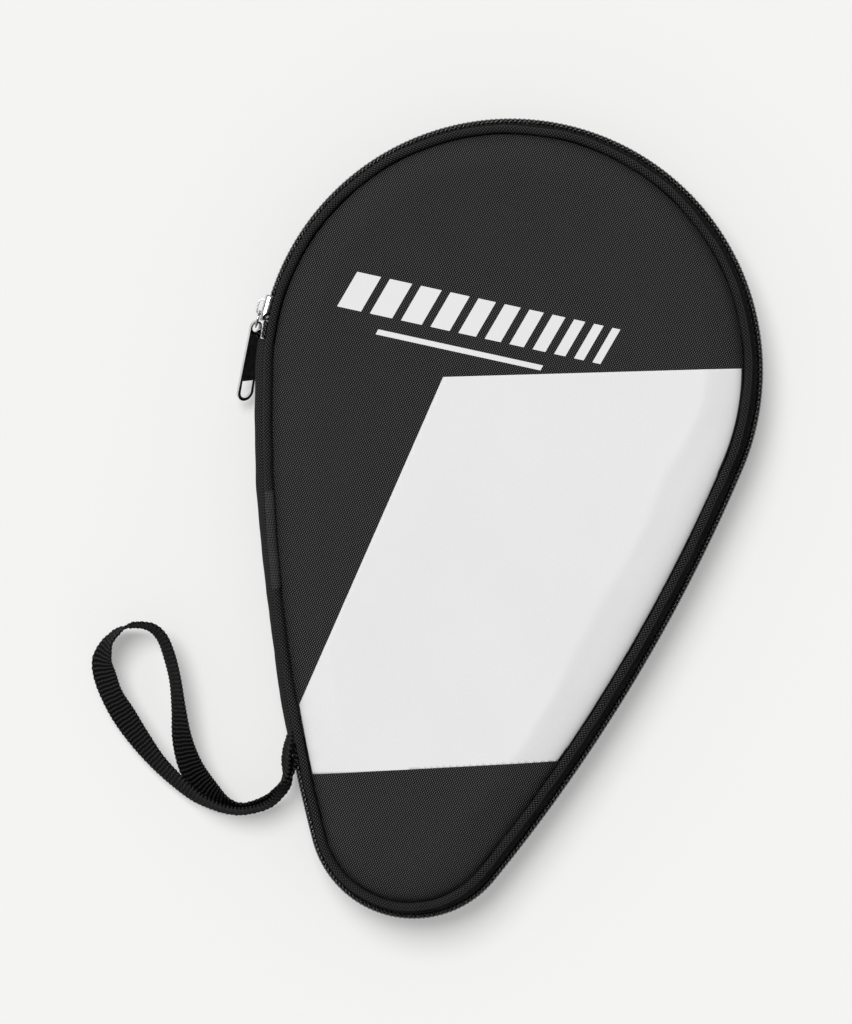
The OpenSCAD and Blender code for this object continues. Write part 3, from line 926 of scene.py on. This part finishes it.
# binding section: outwards, height off the zipper plane
BINDING_PROFILE = np.array([
    (-8.2, 10.75), (-8.9, 11.0), (-10.4, 11.05), (-12.0, 10.95), (-12.45, 10.5), (-12.55, 9.75),
    (-12.4, 9.0), (-11.9, 8.6), (-10.4, 8.5), (-8.9, 8.55), (-8.2, 8.8), (-8.2, 9.1),
    (-11.6, 9.15), (-11.9, 9.8), (-11.6, 10.45), (-8.2, 10.45)])


def cord_section(s, radius, side, sides, stretch=1.0):
    """Round section that wanders about the piping line of one half."""
    seed = PIPING_SEED[side]
    drift_out = waves(s, 40, 0.10, seed + 1)
    drift_up = waves(s, 34, 0.12, seed + 2)
    angles = circle(sides)[None]
    out = -PIPE_IN + drift_out[:, None] + radius[:, None] * np.cos(angles)
    up = PIPE_Z + drift_up[:, None] + radius[:, None] * np.sin(angles) * stretch
    return np.stack([out, up], -1)


def piping(side):
    def section(s):
        radius = PIPE_R + waves(s, 16, 0.05, PIPING_SEED[side])
        return cord_section(s, radius, side, sides=22, stretch=1.02)

    ring = ring_sweep(f"{side}_piping", section, S_RING, PIPING, closed=True,
                      mirror=side == "back")
    fit(ring, f"{side}_shell", [f"{side}_piping_tape", f"{side}_piping_cord"])


def binding(side):
    """Ribbed tape folded over the raw edges of the seam allowance."""
    def section(s):
        profile = np.repeat(BINDING_PROFILE[None], len(s), 0)
        profile[:, 6:11, 1] += waves(s, 22, 0.10, seed=41)[:, None]
        profile[:, 2:9, 0] += waves(s, 30, 0.12, seed=42)[:, None]
        return profile

    ring = ring_sweep(f"{side}_binding", section, S_RING[::2], BINDING, closed=True,
                      mirror=side == "back")
    fit(ring, f"{side}_shell", [f"{side}_seam_binding"])


def lining_height(dist, s, flat):
    """A turned-in edge, then a slightly loose face."""
    x, y = flat[:, 0], flat[:, 1]
    z = 10.3 + 1.35 * (1 - np.exp(-dist / 2.4))
    z = z + 0.16 * np.sin(x / 9.0 + 0.5) * np.sin(y / 13.0) * np.clip(dist / 8, 0, 1)
    return Z0 + (z + waves(s, 17, 0.14, seed=81) * np.exp(-((dist - 3) / 4.0) ** 2))


def lining(side):
    """Brushed lining inside a half shell."""
    sheet = panel_mesh(f"{side}_inner_lining", 12.6, lining_height, LINING_RINGS, LINING,
                       step=4.0)
    subdivide(sheet)
    points = read_points(sheet.data)
    if side == "back":
        points[:, 2] = 2 * Z0 - points[:, 2]
        set_points(sheet, points)
    else:
        set_points(sheet, skew(points))
        sheet.data.flip_normals()
    planar_uv(sheet)
    thicken(sheet, 0.5)
    fit(sheet, f"{side}_shell", [f"{side}_lining"])


def sleeve(side):
    """Short sleeve over the piping on the -X flank, with rounded ends."""
    def section(s):
        along = (s - s[0]) / (s[-1] - s[0])
        lip = 0.30 - 0.16 * np.exp(-along / 0.02) - 0.16 * np.exp(-(1 - along) / 0.02)
        radius = PIPE_R + lip + waves(s, 12, 0.03, seed=51)
        return cord_section(s, radius, side, sides=24)

    cuff = ring_sweep(f"{side}_sleeve", section, np.linspace(SLEEVE_FROM, SLEEVE_TO, 70), SLEEVE,
                      mirror=side == "back")
    fit(cuff, f"{side}_shell", [f"{side}_piping_sleeve"])


for make in (piping, binding, lining, sleeve):
    for half in HALVES:
        make(half)

# ------------------------------------------------------------------ zipper tapes
S_TOP, S_END = s_head(186.2), s_flank(203.4)    # ends of the spine
ZIP_FROM = S_END - TOTAL                        # the zip runs from here round to S_TOP
# tape, outer face: outwards, height off the zipper plane
TAPE_PROFILE = np.array([(-1.72, 0.12), (-1.8, 1.5), (-2.05, 3.0), (-2.65, 4.8), (-3.3, 6.6),
                         (-3.9, 8.2), (-4.6, 9.3), (-6.0, 9.75), (-8.0, 9.8)])
STITCH_PITCH, STITCH_LENGTH, STITCH_R = 2.9, 2.2, 0.16
STITCH_OUT, STITCH_UP = -2.38, 4.0
COIL_PITCH, COIL_WIRE_R = 1.74, 0.40
COIL_PHASE = {"front": 0.0, "back": 0.5}        # in turns
# one turn: along the outside, round the head at the zipper plane, back along the inside,
# round the heel
COIL_LOOP = np.array([(-0.52, 2.38), (-0.33, 1.7), (-0.30, 0.8), (-0.40, 0.05), (-0.74, -0.38),
                      (-1.24, -0.38), (-1.63, 0.1), (-1.75, 0.9), (-1.77, 1.8), (-1.63, 2.5),
                      (-1.08, 2.76)])


def zip_tape(side):
    def section(s):
        outer = np.repeat(TAPE_PROFILE[None], len(s), 0)
        bulge = waves(s, 26, 0.16, seed=61 if side == "back" else 62)
        outer[:, 2:7, 0] += bulge[:, None] * np.array([0.4, 0.8, 1, 0.8, 0.4])[None]
        inner = outer.copy()
        inner[:, :, 0] -= 0.5
        inner[:, -2:, 1] -= 0.4
        inner[:, -2:, 0] += 0.5
        return np.concatenate([outer, inner[:, ::-1]], 1)

    tape = ring_sweep(f"{side}_tape", section, np.linspace(ZIP_FROM + 0.3, S_TOP - 0.2, 900),
                      TAPE, mirror=side == "back")
    fit(tape, f"{side}_shell", [f"{side}_zip_tape"])


def stitches(side):
    """A line of lock stitches lying on a tape."""
    start, end = ZIP_FROM + 7, S_TOP - 4
    mirror = side == "back"
    rings, sides = 5, 5
    along = np.linspace(-0.5, 0.5, rings)
    lift = 0.16 * np.cos(along * np.pi) - 0.06
    one_stitch = (grid_faces(rings, sides, False, True, flip=mirror)
                  + end_caps(rings, sides, flip=True))
    points, faces, uv = [], [], []
    for stitch in range(int((end - start) / STITCH_PITCH)):
        edge, outward = rim(start + stitch * STITCH_PITCH + along * STITCH_LENGTH)
        for ring in range(rings):
            radius = STITCH_R * (1.0 if 0 < ring < rings - 1 else 0.55)
            for angle in circle(sides):
                out = STITCH_OUT + lift[ring] + radius * math.cos(angle)
                up = STITCH_UP + radius * math.sin(angle)
                points.append((*(edge[ring] + outward[ring] * out), Z0 + (-up if mirror else up)))
                uv.append((along[ring] * STITCH_LENGTH, angle * 0.15))
        first = stitch * rings * sides
        faces += [[first + i for i in face] for face in one_stitch]
    points = np.array(points)
    if not mirror:
        points = skew(points)
    seam = add_mesh(f"{side}_tape_stitches", points, faces, THREAD, np.array(uv))
    fit(seam, f"{side}_shell")


def coil(side):
    start, end = ZIP_FROM + 5.8, S_TOP - 0.8
    per_turn = len(COIL_LOOP)
    count = int((end - start) / COIL_PITCH) * per_turn
    # each turn steps on steadily by one pitch
    s = start + (np.arange(count) / per_turn + COIL_PHASE[side]) * COIL_PITCH
    edge, outward = rim(s)
    place = np.arange(count) % per_turn
    out = COIL_LOOP[place, 0] + COIL_RANDOM.normal(0, 0.012, count)
    up = COIL_LOOP[place, 1] + COIL_RANDOM.normal(0, 0.012, count)
    if side == "back":
        up = -up
    path = np.concatenate([edge + outward * out[:, None], (Z0 + up)[:, None]], -1)
    wire = tube(f"{side}_coil", path, COIL_WIRE_R, 8, COIL)
    fit(wire, f"{side}_shell", [f"{side}_zip_coil"])


for make in (zip_tape, stitches, coil):
    for half in HALVES:
        make(half)

# ------------------------------------------------------------------ spine gusset
# outer face: height off the zipper plane, and outwards
GUSSET_UP = np.array([-9.7, -9.3, -8.4, -7.0, -5.6, -4.2, -2.8, -1.4, 0,
                      1.4, 2.8, 4.2, 5.6, 7.0, 8.4, 9.3, 9.7])
GUSSET_OUT = np.array([-7.5, -6.0, -4.9, -3.7, -2.5, -1.4, -0.7, -0.25, -0.1,
                       -0.15, -0.4, -1.0, -1.9, -3.1, -4.6, -6.0, -7.5])
# bulge of the middle: share of the length, and mm outwards
BULGE_AT, BULGE = [0, 0.36, 0.66, 0.97, 1], [0.95, 0.95, -0.15, 0.25, 0.25]
GUSSET_THICK = 0.7


def gusset_section(s):
    along = (s - s[0]) / (s[-1] - s[0])
    off_ends = np.clip(np.minimum(along, 1 - along) / 0.05, 0, 1)
    soft = np.exp(-(GUSSET_UP / 6.0) ** 2)[None]
    bulge = (0.1 + 0.35 * off_ends + np.interp(along, BULGE_AT, BULGE))[:, None]
    wave = waves(s, 40, 0.10, seed=71)[:, None]
    crease = waves(s, 14, 0.07, seed=72)[:, None] * np.sin(GUSSET_UP / 2.4)[None]
    outer = np.zeros((len(s), len(GUSSET_UP), 2))
    outer[:, :, 0] = GUSSET_OUT[None] + bulge * soft + wave * soft + crease * soft
    outer[:, :, 1] = GUSSET_UP[None]
    inner = outer.copy()
    inner[:, :, 0] -= GUSSET_THICK
    return np.concatenate([outer, inner[:, ::-1]], 1)


gusset = ring_sweep("spine_tape", gusset_section, np.linspace(S_TOP - 1.6, S_END + 1.6, 330),
                    GUSSET)
fit(gusset, replaces=["spine_gusset"])


# ------------------------------------------------------------------ stops
def staple(name, s, out, low, high, radius):
    """Bent wire stop clinched over the edge of the chain."""
    up = np.concatenate([[low + 0.5, low + 0.1], np.linspace(low, high, 9),
                         [high - 0.1, high - 0.5]])
    outs = np.concatenate([[out - 1.7, out - 0.7], np.full(9, out), [out - 0.7, out - 1.7]])
    edge, outward = rim(np.full(len(up), s))
    path = np.concatenate([edge + outward * outs[:, None], (Z0 + up)[:, None]], -1)
    wire = tube(name, path, radius, 12, STOP_METAL)
    subdivide(wire)
    fit(wire, "back_shell", [f"zip_{name}"])


staple("top_stop", s_head(185.3), out=0.45, low=-3.1, high=-0.55, radius=0.5)
staple("bottom_stop", s_flank(203.25), out=0.35, low=-2.7, high=2.7, radius=0.48)

# ------------------------------------------------------------------ slider
# Slider axes: x outwards, y along the chain, z up from the zipper plane.
SLIDER_ANGLE = math.radians(178)
SLIDER_OUT = np.array([math.cos(SLIDER_ANGLE), math.sin(SLIDER_ANGLE)])
SLIDER_ALONG = np.array([-math.sin(SLIDER_ANGLE), math.cos(SLIDER_ANGLE)])
# upper half of the C-shaped shell section, outer and inner face: x, z
SHELL_OUTER = np.array([(-1.75, 3.72), (-1.95, 3.9), (-1.85, 4.2), (-1.3, 4.38), (-0.3, 4.42),
                        (0.5, 4.35), (1.05, 4.05), (1.35, 3.5), (1.5, 2.6), (1.56, 1.3),
                        (1.58, 0.0)])
SHELL_INNER = np.array([(0.82, 0.0), (0.8, 1.5), (0.74, 2.7), (0.55, 3.35), (0.1, 3.68),
                        (-0.7, 3.74), (-1.4, 3.7)])
SHELL_Y = [-5.0, -4.9, -4.6, -4.1, -3.4, -2.4, -1.2, 0, 1.0, 1.8, 2.4, 3.0, 3.7, 4.3, 4.7, 4.93,
           5.0]
PLATE_Y = [-4.5, -4.4, -4.0, -3.2, -1, 1, 3.2, 4.0, 4.4, 4.5]
POST_Y = [1.6, 1.75, 2.2, 3.2, 4.2, 4.65, 4.8]


def at_slider(points):
    """Slider axes to world."""
    points = np.asarray(points, float)
    flat = (HEAD_R + points[..., 0:1]) * SLIDER_OUT + points[..., 1:2] * SLIDER_ALONG
    return np.concatenate([flat, Z0 + points[..., 2:3]], -1)


def swept_profile(name, profile, stations, shape):
    """Closed (x, z) profile carried along the chain; shape(y) -> x shift, z stretch."""
    count = len(profile)
    points = []
    for y in stations:
        shift, stretch = shape(y)
        points.append(np.stack([profile[:, 0] + shift, np.full(count, y),
                                profile[:, 1] * stretch], -1))
    faces = grid_faces(len(stations), count, False, True) + end_caps(len(stations), count)
    uv = np.stack([np.repeat(stations, count), np.tile(np.arange(count) * 0.6, len(stations))],
                  -1)
    part = add_mesh(name, at_slider(points).reshape(-1, 3), faces, NICKEL, uv)
    face_outwards(part)
    return part


def round_ends(y, start, end, lip):
    """1 in the middle, rounding down at both ends."""
    share = min((y - start) / lip, (end - y) / lip, 1.0)
    return math.sqrt(max(0.0, 1 - (1 - max(share, 0)) ** 2))


def squared(wave, power):
    """Turns a sine or cosine into the squarer wave of a superellipse."""
    return np.sign(wave) * np.abs(wave) ** power


def shell_shape(y):
    """Wider towards +y, with a slight bulge outwards in the middle."""
    ends = round_ends(y, -5.02, 5.02, lip=1.3)
    width = (3.75 + 0.65 * (y + 5) / 10) / SHELL_OUTER[:, 1].max()
    return 0.10 * (1 - (y / 5.0) ** 2) - 0.35 * (1 - ends), width * (0.80 + 0.20 * ends)


def slider_shell():
    """C-shaped shell, the inner plate and the thin post between them."""
    flip = [1, -1]
    profile = np.concatenate([SHELL_OUTER, (SHELL_OUTER * flip)[-2::-1],
                              (SHELL_INNER * flip)[::-1], SHELL_INNER[1:]])
    shell = swept_profile("shell", profile, SHELL_Y, shell_shape)
    points = read_points(shell.data)
    # the folded lips end before the nose
    along = (points[:, :2] - SLIDER_OUT * HEAD_R) @ SLIDER_ALONG
    out = (points[:, :2] @ SLIDER_OUT) - HEAD_R
    cut = np.clip((along - 1.9) / 0.9, 0, 1)
    push = np.where(out < 0.45, (0.45 - out) * cut, 0)
    points[:, :2] += SLIDER_OUT * push[:, None]
    set_points(shell, points)

    cos, sin = np.cos(circle(20)), np.sin(circle(20))
    plate = np.stack([-3.7 + 0.5 * squared(cos, 0.45), 2.75 * squared(sin, 0.35)], -1)
    plate = swept_profile("wing", plate, PLATE_Y,
                          lambda y: (0.0, 0.86 + 0.14 * round_ends(y, -4.55, 4.55, lip=0.9)))
    post = np.stack([-1.5 + 1.95 * cos, 0.15 * sin], -1)
    post = swept_profile("post", post, POST_Y,
                         lambda y: (0.0, 0.7 + 0.3 * round_ends(y, 1.55, 4.85, lip=0.8)))
    return join("slider_shell", [shell, plate, post])


def slider_arch():
    """Flat bar bent into an arch over the outside of the shell."""
    foot_x, foot_y = 0.9, 2.78
    corner_x, corner_y, corner_r = 2.2, 1.6, 1.15
    top_x = corner_x + corner_r
    bend = [(corner_r * math.sin(a), corner_r * math.cos(a))
            for a in np.radians(np.linspace(0, 90, 9))]
    line = [(foot_x, -foot_y), (1.5, -foot_y)]
    line += [(corner_x + sin, -corner_y - cos) for sin, cos in bend]
    line += [(top_x, -0.8), (top_x, 0), (top_x, 0.8)]
    line += [(corner_x + cos, corner_y + sin) for sin, cos in bend]
    line = np.array(line + [(1.5, foot_y), (foot_x, foot_y)])
    tangent = np.gradient(line, axis=0)
    tangent /= np.linalg.norm(tangent, axis=1)[:, None]
    normal = np.stack([tangent[:, 1], -tangent[:, 0]], -1)
    angles = circle(18)
    thick = 0.34 * squared(np.cos(angles), 0.7)
    across = squared(np.sin(angles), 0.6)
    # the legs widen towards their feet
    half_width = 1.1 + 0.25 * np.clip((1.9 - line[:, 0]) / 1.0, 0, 1)
    # the line is laid out in x and z of the arch's plane, which are outwards and along
    points = np.concatenate([line[:, None, :] + normal[:, None, :] * thick[None, :, None],
                             (half_width[:, None] * across[None])[:, :, None]], -1)
    count = len(angles)
    faces = grid_faces(len(line), count, False, True) + end_caps(len(line), count)
    uv = np.stack([np.repeat(np.arange(len(line)) * 0.5, count), np.tile(angles, len(line))], -1)
    arch = add_mesh("slider_arch", at_slider(points).reshape(-1, 3), faces, NICKEL, uv)
    face_outwards(arch)
    return arch


for part, node in ((slider_shell(), "slider_body"), (slider_arch(), "slider_crown")):
    subdivide(part)
    fit(part, "slider", [node])

for node, material in (("pull_link", NICKEL), ("pull_tab", NICKEL), ("pull_inlay", INLAY)):
    part = frame["nodes"][node]
    part.data.materials.clear()
    part.data.materials.append(material)
    if node != "pull_link":
        bevel = part.modifiers.new("edge", "BEVEL")
        bevel.width, bevel.segments, bevel.limit_method = 0.3 * MM, 3, "ANGLE"
        bevel.angle_limit = math.radians(40)

# ------------------------------------------------------------------ wrist strap
WEB_STEP = 0.17             # spacing of the rings along the webbing
WEB_POINTS = 27             # points across each face
WEB_EDGE = 0.55             # thickness that shows when the webbing stands upright
TACK_FROM = 3.7             # distance of the first tack from the webbing's ends
# Stations along the webbing: x, y of one side of its outline and x, y of the other, as seen
# from the camera in the zipper plane; which way its upper edge leans (+1 to the second side,
# -1 to the first); height of its lower edge.
STRAP = [
    (-48.07, -145.90, -50.42, -146.41, -1, 12.0), (-47.10, -149.47, -49.63, -150.02, -1, 12.0),
    (-46.53, -154.65, -49.60, -155.32, -1, 11.0), (-46.55, -161.47, -49.59, -161.57, -1, 9.0),
    (-47.01, -168.01, -50.33, -166.66, 1, 7.0), (-49.09, -173.20, -51.85, -170.97, 1, 5.6),
    (-53.35, -177.93, -54.81, -175.59, 1, 4.6), (-61.59, -181.82, -62.00, -179.07, 1, 4.0),
    (-68.21, -182.70, -67.91, -179.79, 1, 3.9), (-74.79, -182.06, -73.98, -178.86, 1, 3.9),
    (-81.57, -180.52, -79.94, -176.75, 1, 3.9), (-89.99, -176.69, -87.39, -172.14, 1, 3.9),
    (-98.64, -171.77, -95.26, -166.48, 1, 3.9), (-107.62, -165.41, -102.73, -159.18, 1, 3.9),
    (-115.59, -158.44, -109.39, -152.16, 1, 3.9), (-121.67, -151.44, -115.18, -146.50, 1, 3.9),
    (-126.22, -144.49, -118.71, -140.76, 1, 3.9), (-128.45, -137.78, -120.99, -137.09, 1, 3.9),
    (-127.19, -131.44, -121.85, -133.68, 1, 3.9), (-125.12, -127.96, -122.21, -129.97, 1, 3.9),
    (-121.96, -124.23, -120.26, -125.94, 1, 3.9), (-117.66, -121.40, -116.70, -123.16, -1, 3.9),
    (-113.05, -119.93, -112.88, -122.47, -1, 3.9), (-108.14, -119.88, -109.29, -123.27, -1, 3.9),
    (-103.33, -122.80, -105.81, -126.18, -1, 3.9), (-98.94, -129.03, -102.51, -131.71, -1, 3.9),
    (-94.78, -137.59, -98.70, -139.58, -1, 3.9), (-90.60, -148.03, -95.57, -150.07, -1, 3.9),
    (-86.21, -157.68, -92.79, -161.01, -1, 3.9), (-81.13, -165.27, -87.90, -171.04, -1, 3.9),
    (-75.81, -170.54, -82.36, -176.91, -1, 3.9), (-70.36, -174.65, -75.55, -180.34, -1, 3.9),
    (-65.63, -177.21, -68.29, -180.64, -1, 3.9), (-62.54, -177.48, -62.44, -179.66, -1, 3.9),
    (-59.79, -176.23, -58.57, -178.31, -1, 3.9), (-56.14, -173.88, -54.45, -175.52, -1, 3.9),
    (-53.48, -171.14, -50.91, -172.66, -1, 5.4), (-51.77, -167.54, -48.93, -168.24, -1, 7.0),
    (-51.35, -162.90, -48.42, -162.45, 1, 9.0), (-52.15, -157.17, -49.07, -156.72, 1, 11.0),
    (-52.33, -153.27, -49.44, -152.63, 1, 12.0), (-52.06, -150.18, -49.61, -149.26, 1, 12.0),
    (-52.05, -146.77, -50.06, -146.33, 1, 12.0)]


def plan(seen, z):
    """x and y of a point at height z that the camera sees over a point of the zipper plane."""
    eye = np.array(EYE[:2])
    return eye + (np.array(seen) - eye) * (EYE[2] - z) / (EYE[2] - Z0)


def strap_station(x1, y1, x2, y2, leans_to, low):
    """Middle of the webbing, and the vector from its lower edge to its upper edge."""
    seen_foot, seen_head = (x1, y1), (x2, y2)
    if leans_to < 0:
        seen_foot, seen_head = seen_head, seen_foot
    rise = WEB_W
    # the rise and the lean depend on each other, so they are settled in turns
    for _ in range(8):
        foot, head = plan(seen_foot, low), plan(seen_head, low + rise)
        across = head - foot
        width = np.linalg.norm(across) + 1e-9
        trim = across / width * min(WEB_EDGE * rise / WEB_W, width) / 2
        foot, head = foot + trim, head - trim
        rise = math.sqrt(WEB_W ** 2 - min(np.linalg.norm(head - foot), 10.8) ** 2)
    return (*((foot + head) / 2), low + rise / 2, *(head - foot), rise)


def smooth_path(stations, step):
    """Catmull-Rom through the stations, sampled evenly in plan: distances and rows."""
    stations = np.array(stations, float)
    last = len(stations) - 1
    rows = []
    for i in range(last + 1):
        a, b = stations[max(i - 1, 0)], stations[i]
        c, d = stations[min(i + 1, last)], stations[min(i + 2, last)]
        if i == last:
            rows.append(b)
            break
        for t in np.linspace(0, 1, 24, endpoint=False):
            rows.append(0.5 * (2 * b + (c - a) * t + (2 * a - 5 * b + 4 * c - d) * t * t
                               + (3 * b - a - 3 * c + d) * t ** 3))
    rows = np.array(rows)
    steps = np.linalg.norm(np.diff(rows[:, :2], axis=0), axis=1)
    length = np.concatenate([[0], np.cumsum(steps)])
    along = np.linspace(0, length[-1], int(length[-1] / step))
    return along, np.stack([np.interp(along, length, column) for column in rows.T], -1)


def blurred(rows, window):
    """Each column smoothed over an odd number of rows."""
    kernel = np.hanning(window)
    kernel /= kernel.sum()
    return np.stack([np.convolve(np.pad(column, window // 2, mode="edge"), kernel, mode="valid")
                     for column in rows.T], -1)


def strap_frames():
    """Distances along the webbing, its centre line, and unit vectors up and out of its face."""
    along, path = smooth_path([strap_station(*row) for row in STRAP], WEB_STEP)
    path = blurred(path, 25)
    centre, up = path[:, :3], path[:, 3:]
    tangent = blurred(np.gradient(centre, axis=0), 41)
    tangent /= np.linalg.norm(tangent, axis=1)[:, None]
    up = up - tangent * (up * tangent).sum(1)[:, None]
    up /= np.linalg.norm(up, axis=1)[:, None]
    return along, centre, up, np.cross(tangent, up)


def strap_webbing(along, centre, up, normal):
    """The webbing, with its ribs and their dots modelled."""
    count = len(along)
    share = np.linspace(-0.5, 0.5, WEB_POINTS)
    across = share * WEB_W
    bowed = along[:, None] + WEB_BOW * np.sin(2 * np.pi * across / WEB_BOW_PERIOD)[None]
    rib = np.abs(np.sin(np.pi * bowed / WEB_RIB)) ** 0.8
    dots = np.abs(np.sin(np.pi * across / WEB_DOT)) ** 0.8
    checker = np.floor(bowed / WEB_RIB) + np.floor(across / WEB_DOT)[None]
    raised = np.where(checker % 2 == 0, 1.0, 0.6)
    edge = np.clip((0.5 - np.abs(share)) / 0.05, 0, 1) ** 0.5
    half = (0.30 + 0.38 * rib * (0.45 + 0.55 * dots[None]) * raised) * (0.6 + 0.4 * edge[None])
    width = WEB_W * (1 + 0.035 * (np.abs(np.sin(np.pi * along / WEB_RIB)) - 0.5))
    middle = centre[:, None] + up[:, None] * (share[None, :, None] * width[:, None, None])
    offset = normal[:, None] * half[:, :, None]
    points = np.concatenate([middle + offset, (middle - offset)[:, ::-1]], 1).reshape(-1, 3)
    girth = 2 * WEB_POINTS
    faces = grid_faces(count, girth, False, True, flip=True) + end_caps(count, girth)
    v = np.concatenate([across, across[::-1]])
    uv = np.stack([np.repeat(along, girth), np.tile(v, count)], -1)
    webbing = add_mesh("wrist_strap_webbing", points, faces, WEBBING, uv)
    face_outwards(webbing)
    fit(webbing, "strap", ["wrist_strap"])
    return webbing


def bar_tacks(centre, normal):
    """Thread wrapped to and fro over both layers of the strap's neck."""
    first = int(TACK_FROM / WEB_STEP)
    last = len(centre) - 1 - first

    def outer_face(here, there):
        facing = (centre[here] - centre[there]) @ normal[here] > 0
        return centre[here] + normal[here] * 0.85 * (1 if facing else -1)

    tacks = []
    for j in range(6):
        a, b = first + j * 2, last - j * 2
        side_a, side_b = outer_face(a, b), outer_face(b, a)
        middle = (side_a + side_b) / 2
        reach = np.array([0, 0, 4.6 - 0.1 * (j % 2)])
        over = reach + np.array([0, 0, 0.9])
        loop = np.array([side_a - reach, side_a, side_a + reach, middle + over,
                         side_b + reach, side_b, side_b - reach, middle - over])
        path = np.concatenate([np.linspace(p, q, 4, endpoint=False)
                               for p, q in zip(loop, np.roll(loop, -1, 0))])
        tacks.append(tube("tack", path, 0.17, 6, THREAD, closed=True))
    tacks = join("strap_tacks", tacks)
    fit(tacks, "strap", ["strap_bar_tacks"])
    return tacks


web_along, web_centre, web_up, web_normal = strap_frames()
strap = strap_webbing(web_along, web_centre, web_up, web_normal)
tack = bar_tacks(web_centre, web_normal)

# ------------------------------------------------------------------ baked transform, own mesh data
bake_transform(gusset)
for piece in (strap, tack):
    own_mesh(piece)


# ------------------------------------------------------------------ stage, light, camera
def add_floor():
    bpy.ops.mesh.primitive_plane_add(size=6, location=(0, 0, -0.0007))
    floor = bpy.context.object
    floor.name = "floor"
    t = Shader("floor_paper")
    grain = t.noise(scale=3.0, space=t.object_space())
    colour = t.mix(grain, (0.572, 0.572, 0.568), (0.578, 0.578, 0.574))
    floor.data.materials.append(t.finish(base=colour, rough=0.9, spec=0.0,
                                         glow=(1.0, 1.0, 0.992), glow_strength=0.295))


def add_camera():
    """Looks straight down."""
    data = bpy.data.cameras.new("camera")
    camera = bpy.data.objects.new("camera", data)
    bpy.context.scene.collection.objects.link(camera)
    camera.location = [x * MM for x in EYE]
    camera.rotation_euler = (0, 0, CAMERA_TURN)
    data.sensor_fit = "VERTICAL"
    data.sensor_height = 24
    data.lens = data.sensor_height / VIEW_HEIGHT * (EYE[2] - Z0)
    data.clip_end = 20
    bpy.context.scene.camera = camera


def add_sun():
    """Soft key light, 25 degrees off the vertical, from the top left of the view."""
    tilt = math.radians(25)
    toward = Vector((-0.53 * math.sin(tilt), 0.85 * math.sin(tilt), math.cos(tilt))).normalized()
    toward = Matrix.Rotation(CAMERA_TURN, 3, "Z") @ toward
    data = bpy.data.lights.new("key", "SUN")
    data.energy = 2.60
    data.angle = math.radians(31)
    sun = bpy.data.objects.new("key", data)
    sun.rotation_euler = toward.to_track_quat("Z", "Y").to_euler()
    bpy.context.scene.collection.objects.link(sun)


def add_world():
    """Even light, except that glossy rays see a dim room with bright patches."""
    world = bpy.data.worlds.new("studio")
    bpy.context.scene.world = world
    world.use_nodes = True
    nodes, link = world.node_tree.nodes, world.node_tree.links.new
    nodes.clear()
    output = nodes.new("ShaderNodeOutputWorld")
    even = nodes.new("ShaderNodeBackground")
    even.inputs["Color"].default_value = (1, 1, 1, 1)
    even.inputs["Strength"].default_value = 0.315
    room = nodes.new("ShaderNodeBackground")
    direction = nodes.new("ShaderNodeTexCoord")
    noise = nodes.new("ShaderNodeTexNoise")
    noise.inputs["Scale"].default_value = 2.3
    noise.inputs["Detail"].default_value = 1.0
    link(direction.outputs["Generated"], noise.inputs["Vector"])
    patches = nodes.new("ShaderNodeMapRange")
    patches.clamp = True
    # noise from 0.47 to 0.58 becomes strength 0.03 to 0.8
    for socket, value in zip(patches.inputs[1:5], (0.47, 0.58, 0.03, 0.8)):
        socket.default_value = value
    link(noise.outputs[0], patches.inputs[0])
    link(patches.outputs[0], room.inputs["Strength"])
    rays = nodes.new("ShaderNodeLightPath")
    mix = nodes.new("ShaderNodeMixShader")
    link(rays.outputs["Is Glossy Ray"], mix.inputs[0])
    link(even.outputs[0], mix.inputs[1])
    link(room.outputs[0], mix.inputs[2])
    link(mix.outputs[0], output.inputs[0])


add_floor()
add_camera()
add_sun()
add_world()
view = bpy.context.scene.view_settings
view.view_transform = "Standard"
view.look = "None"
view.exposure = 0.0
view.gamma = 1.0
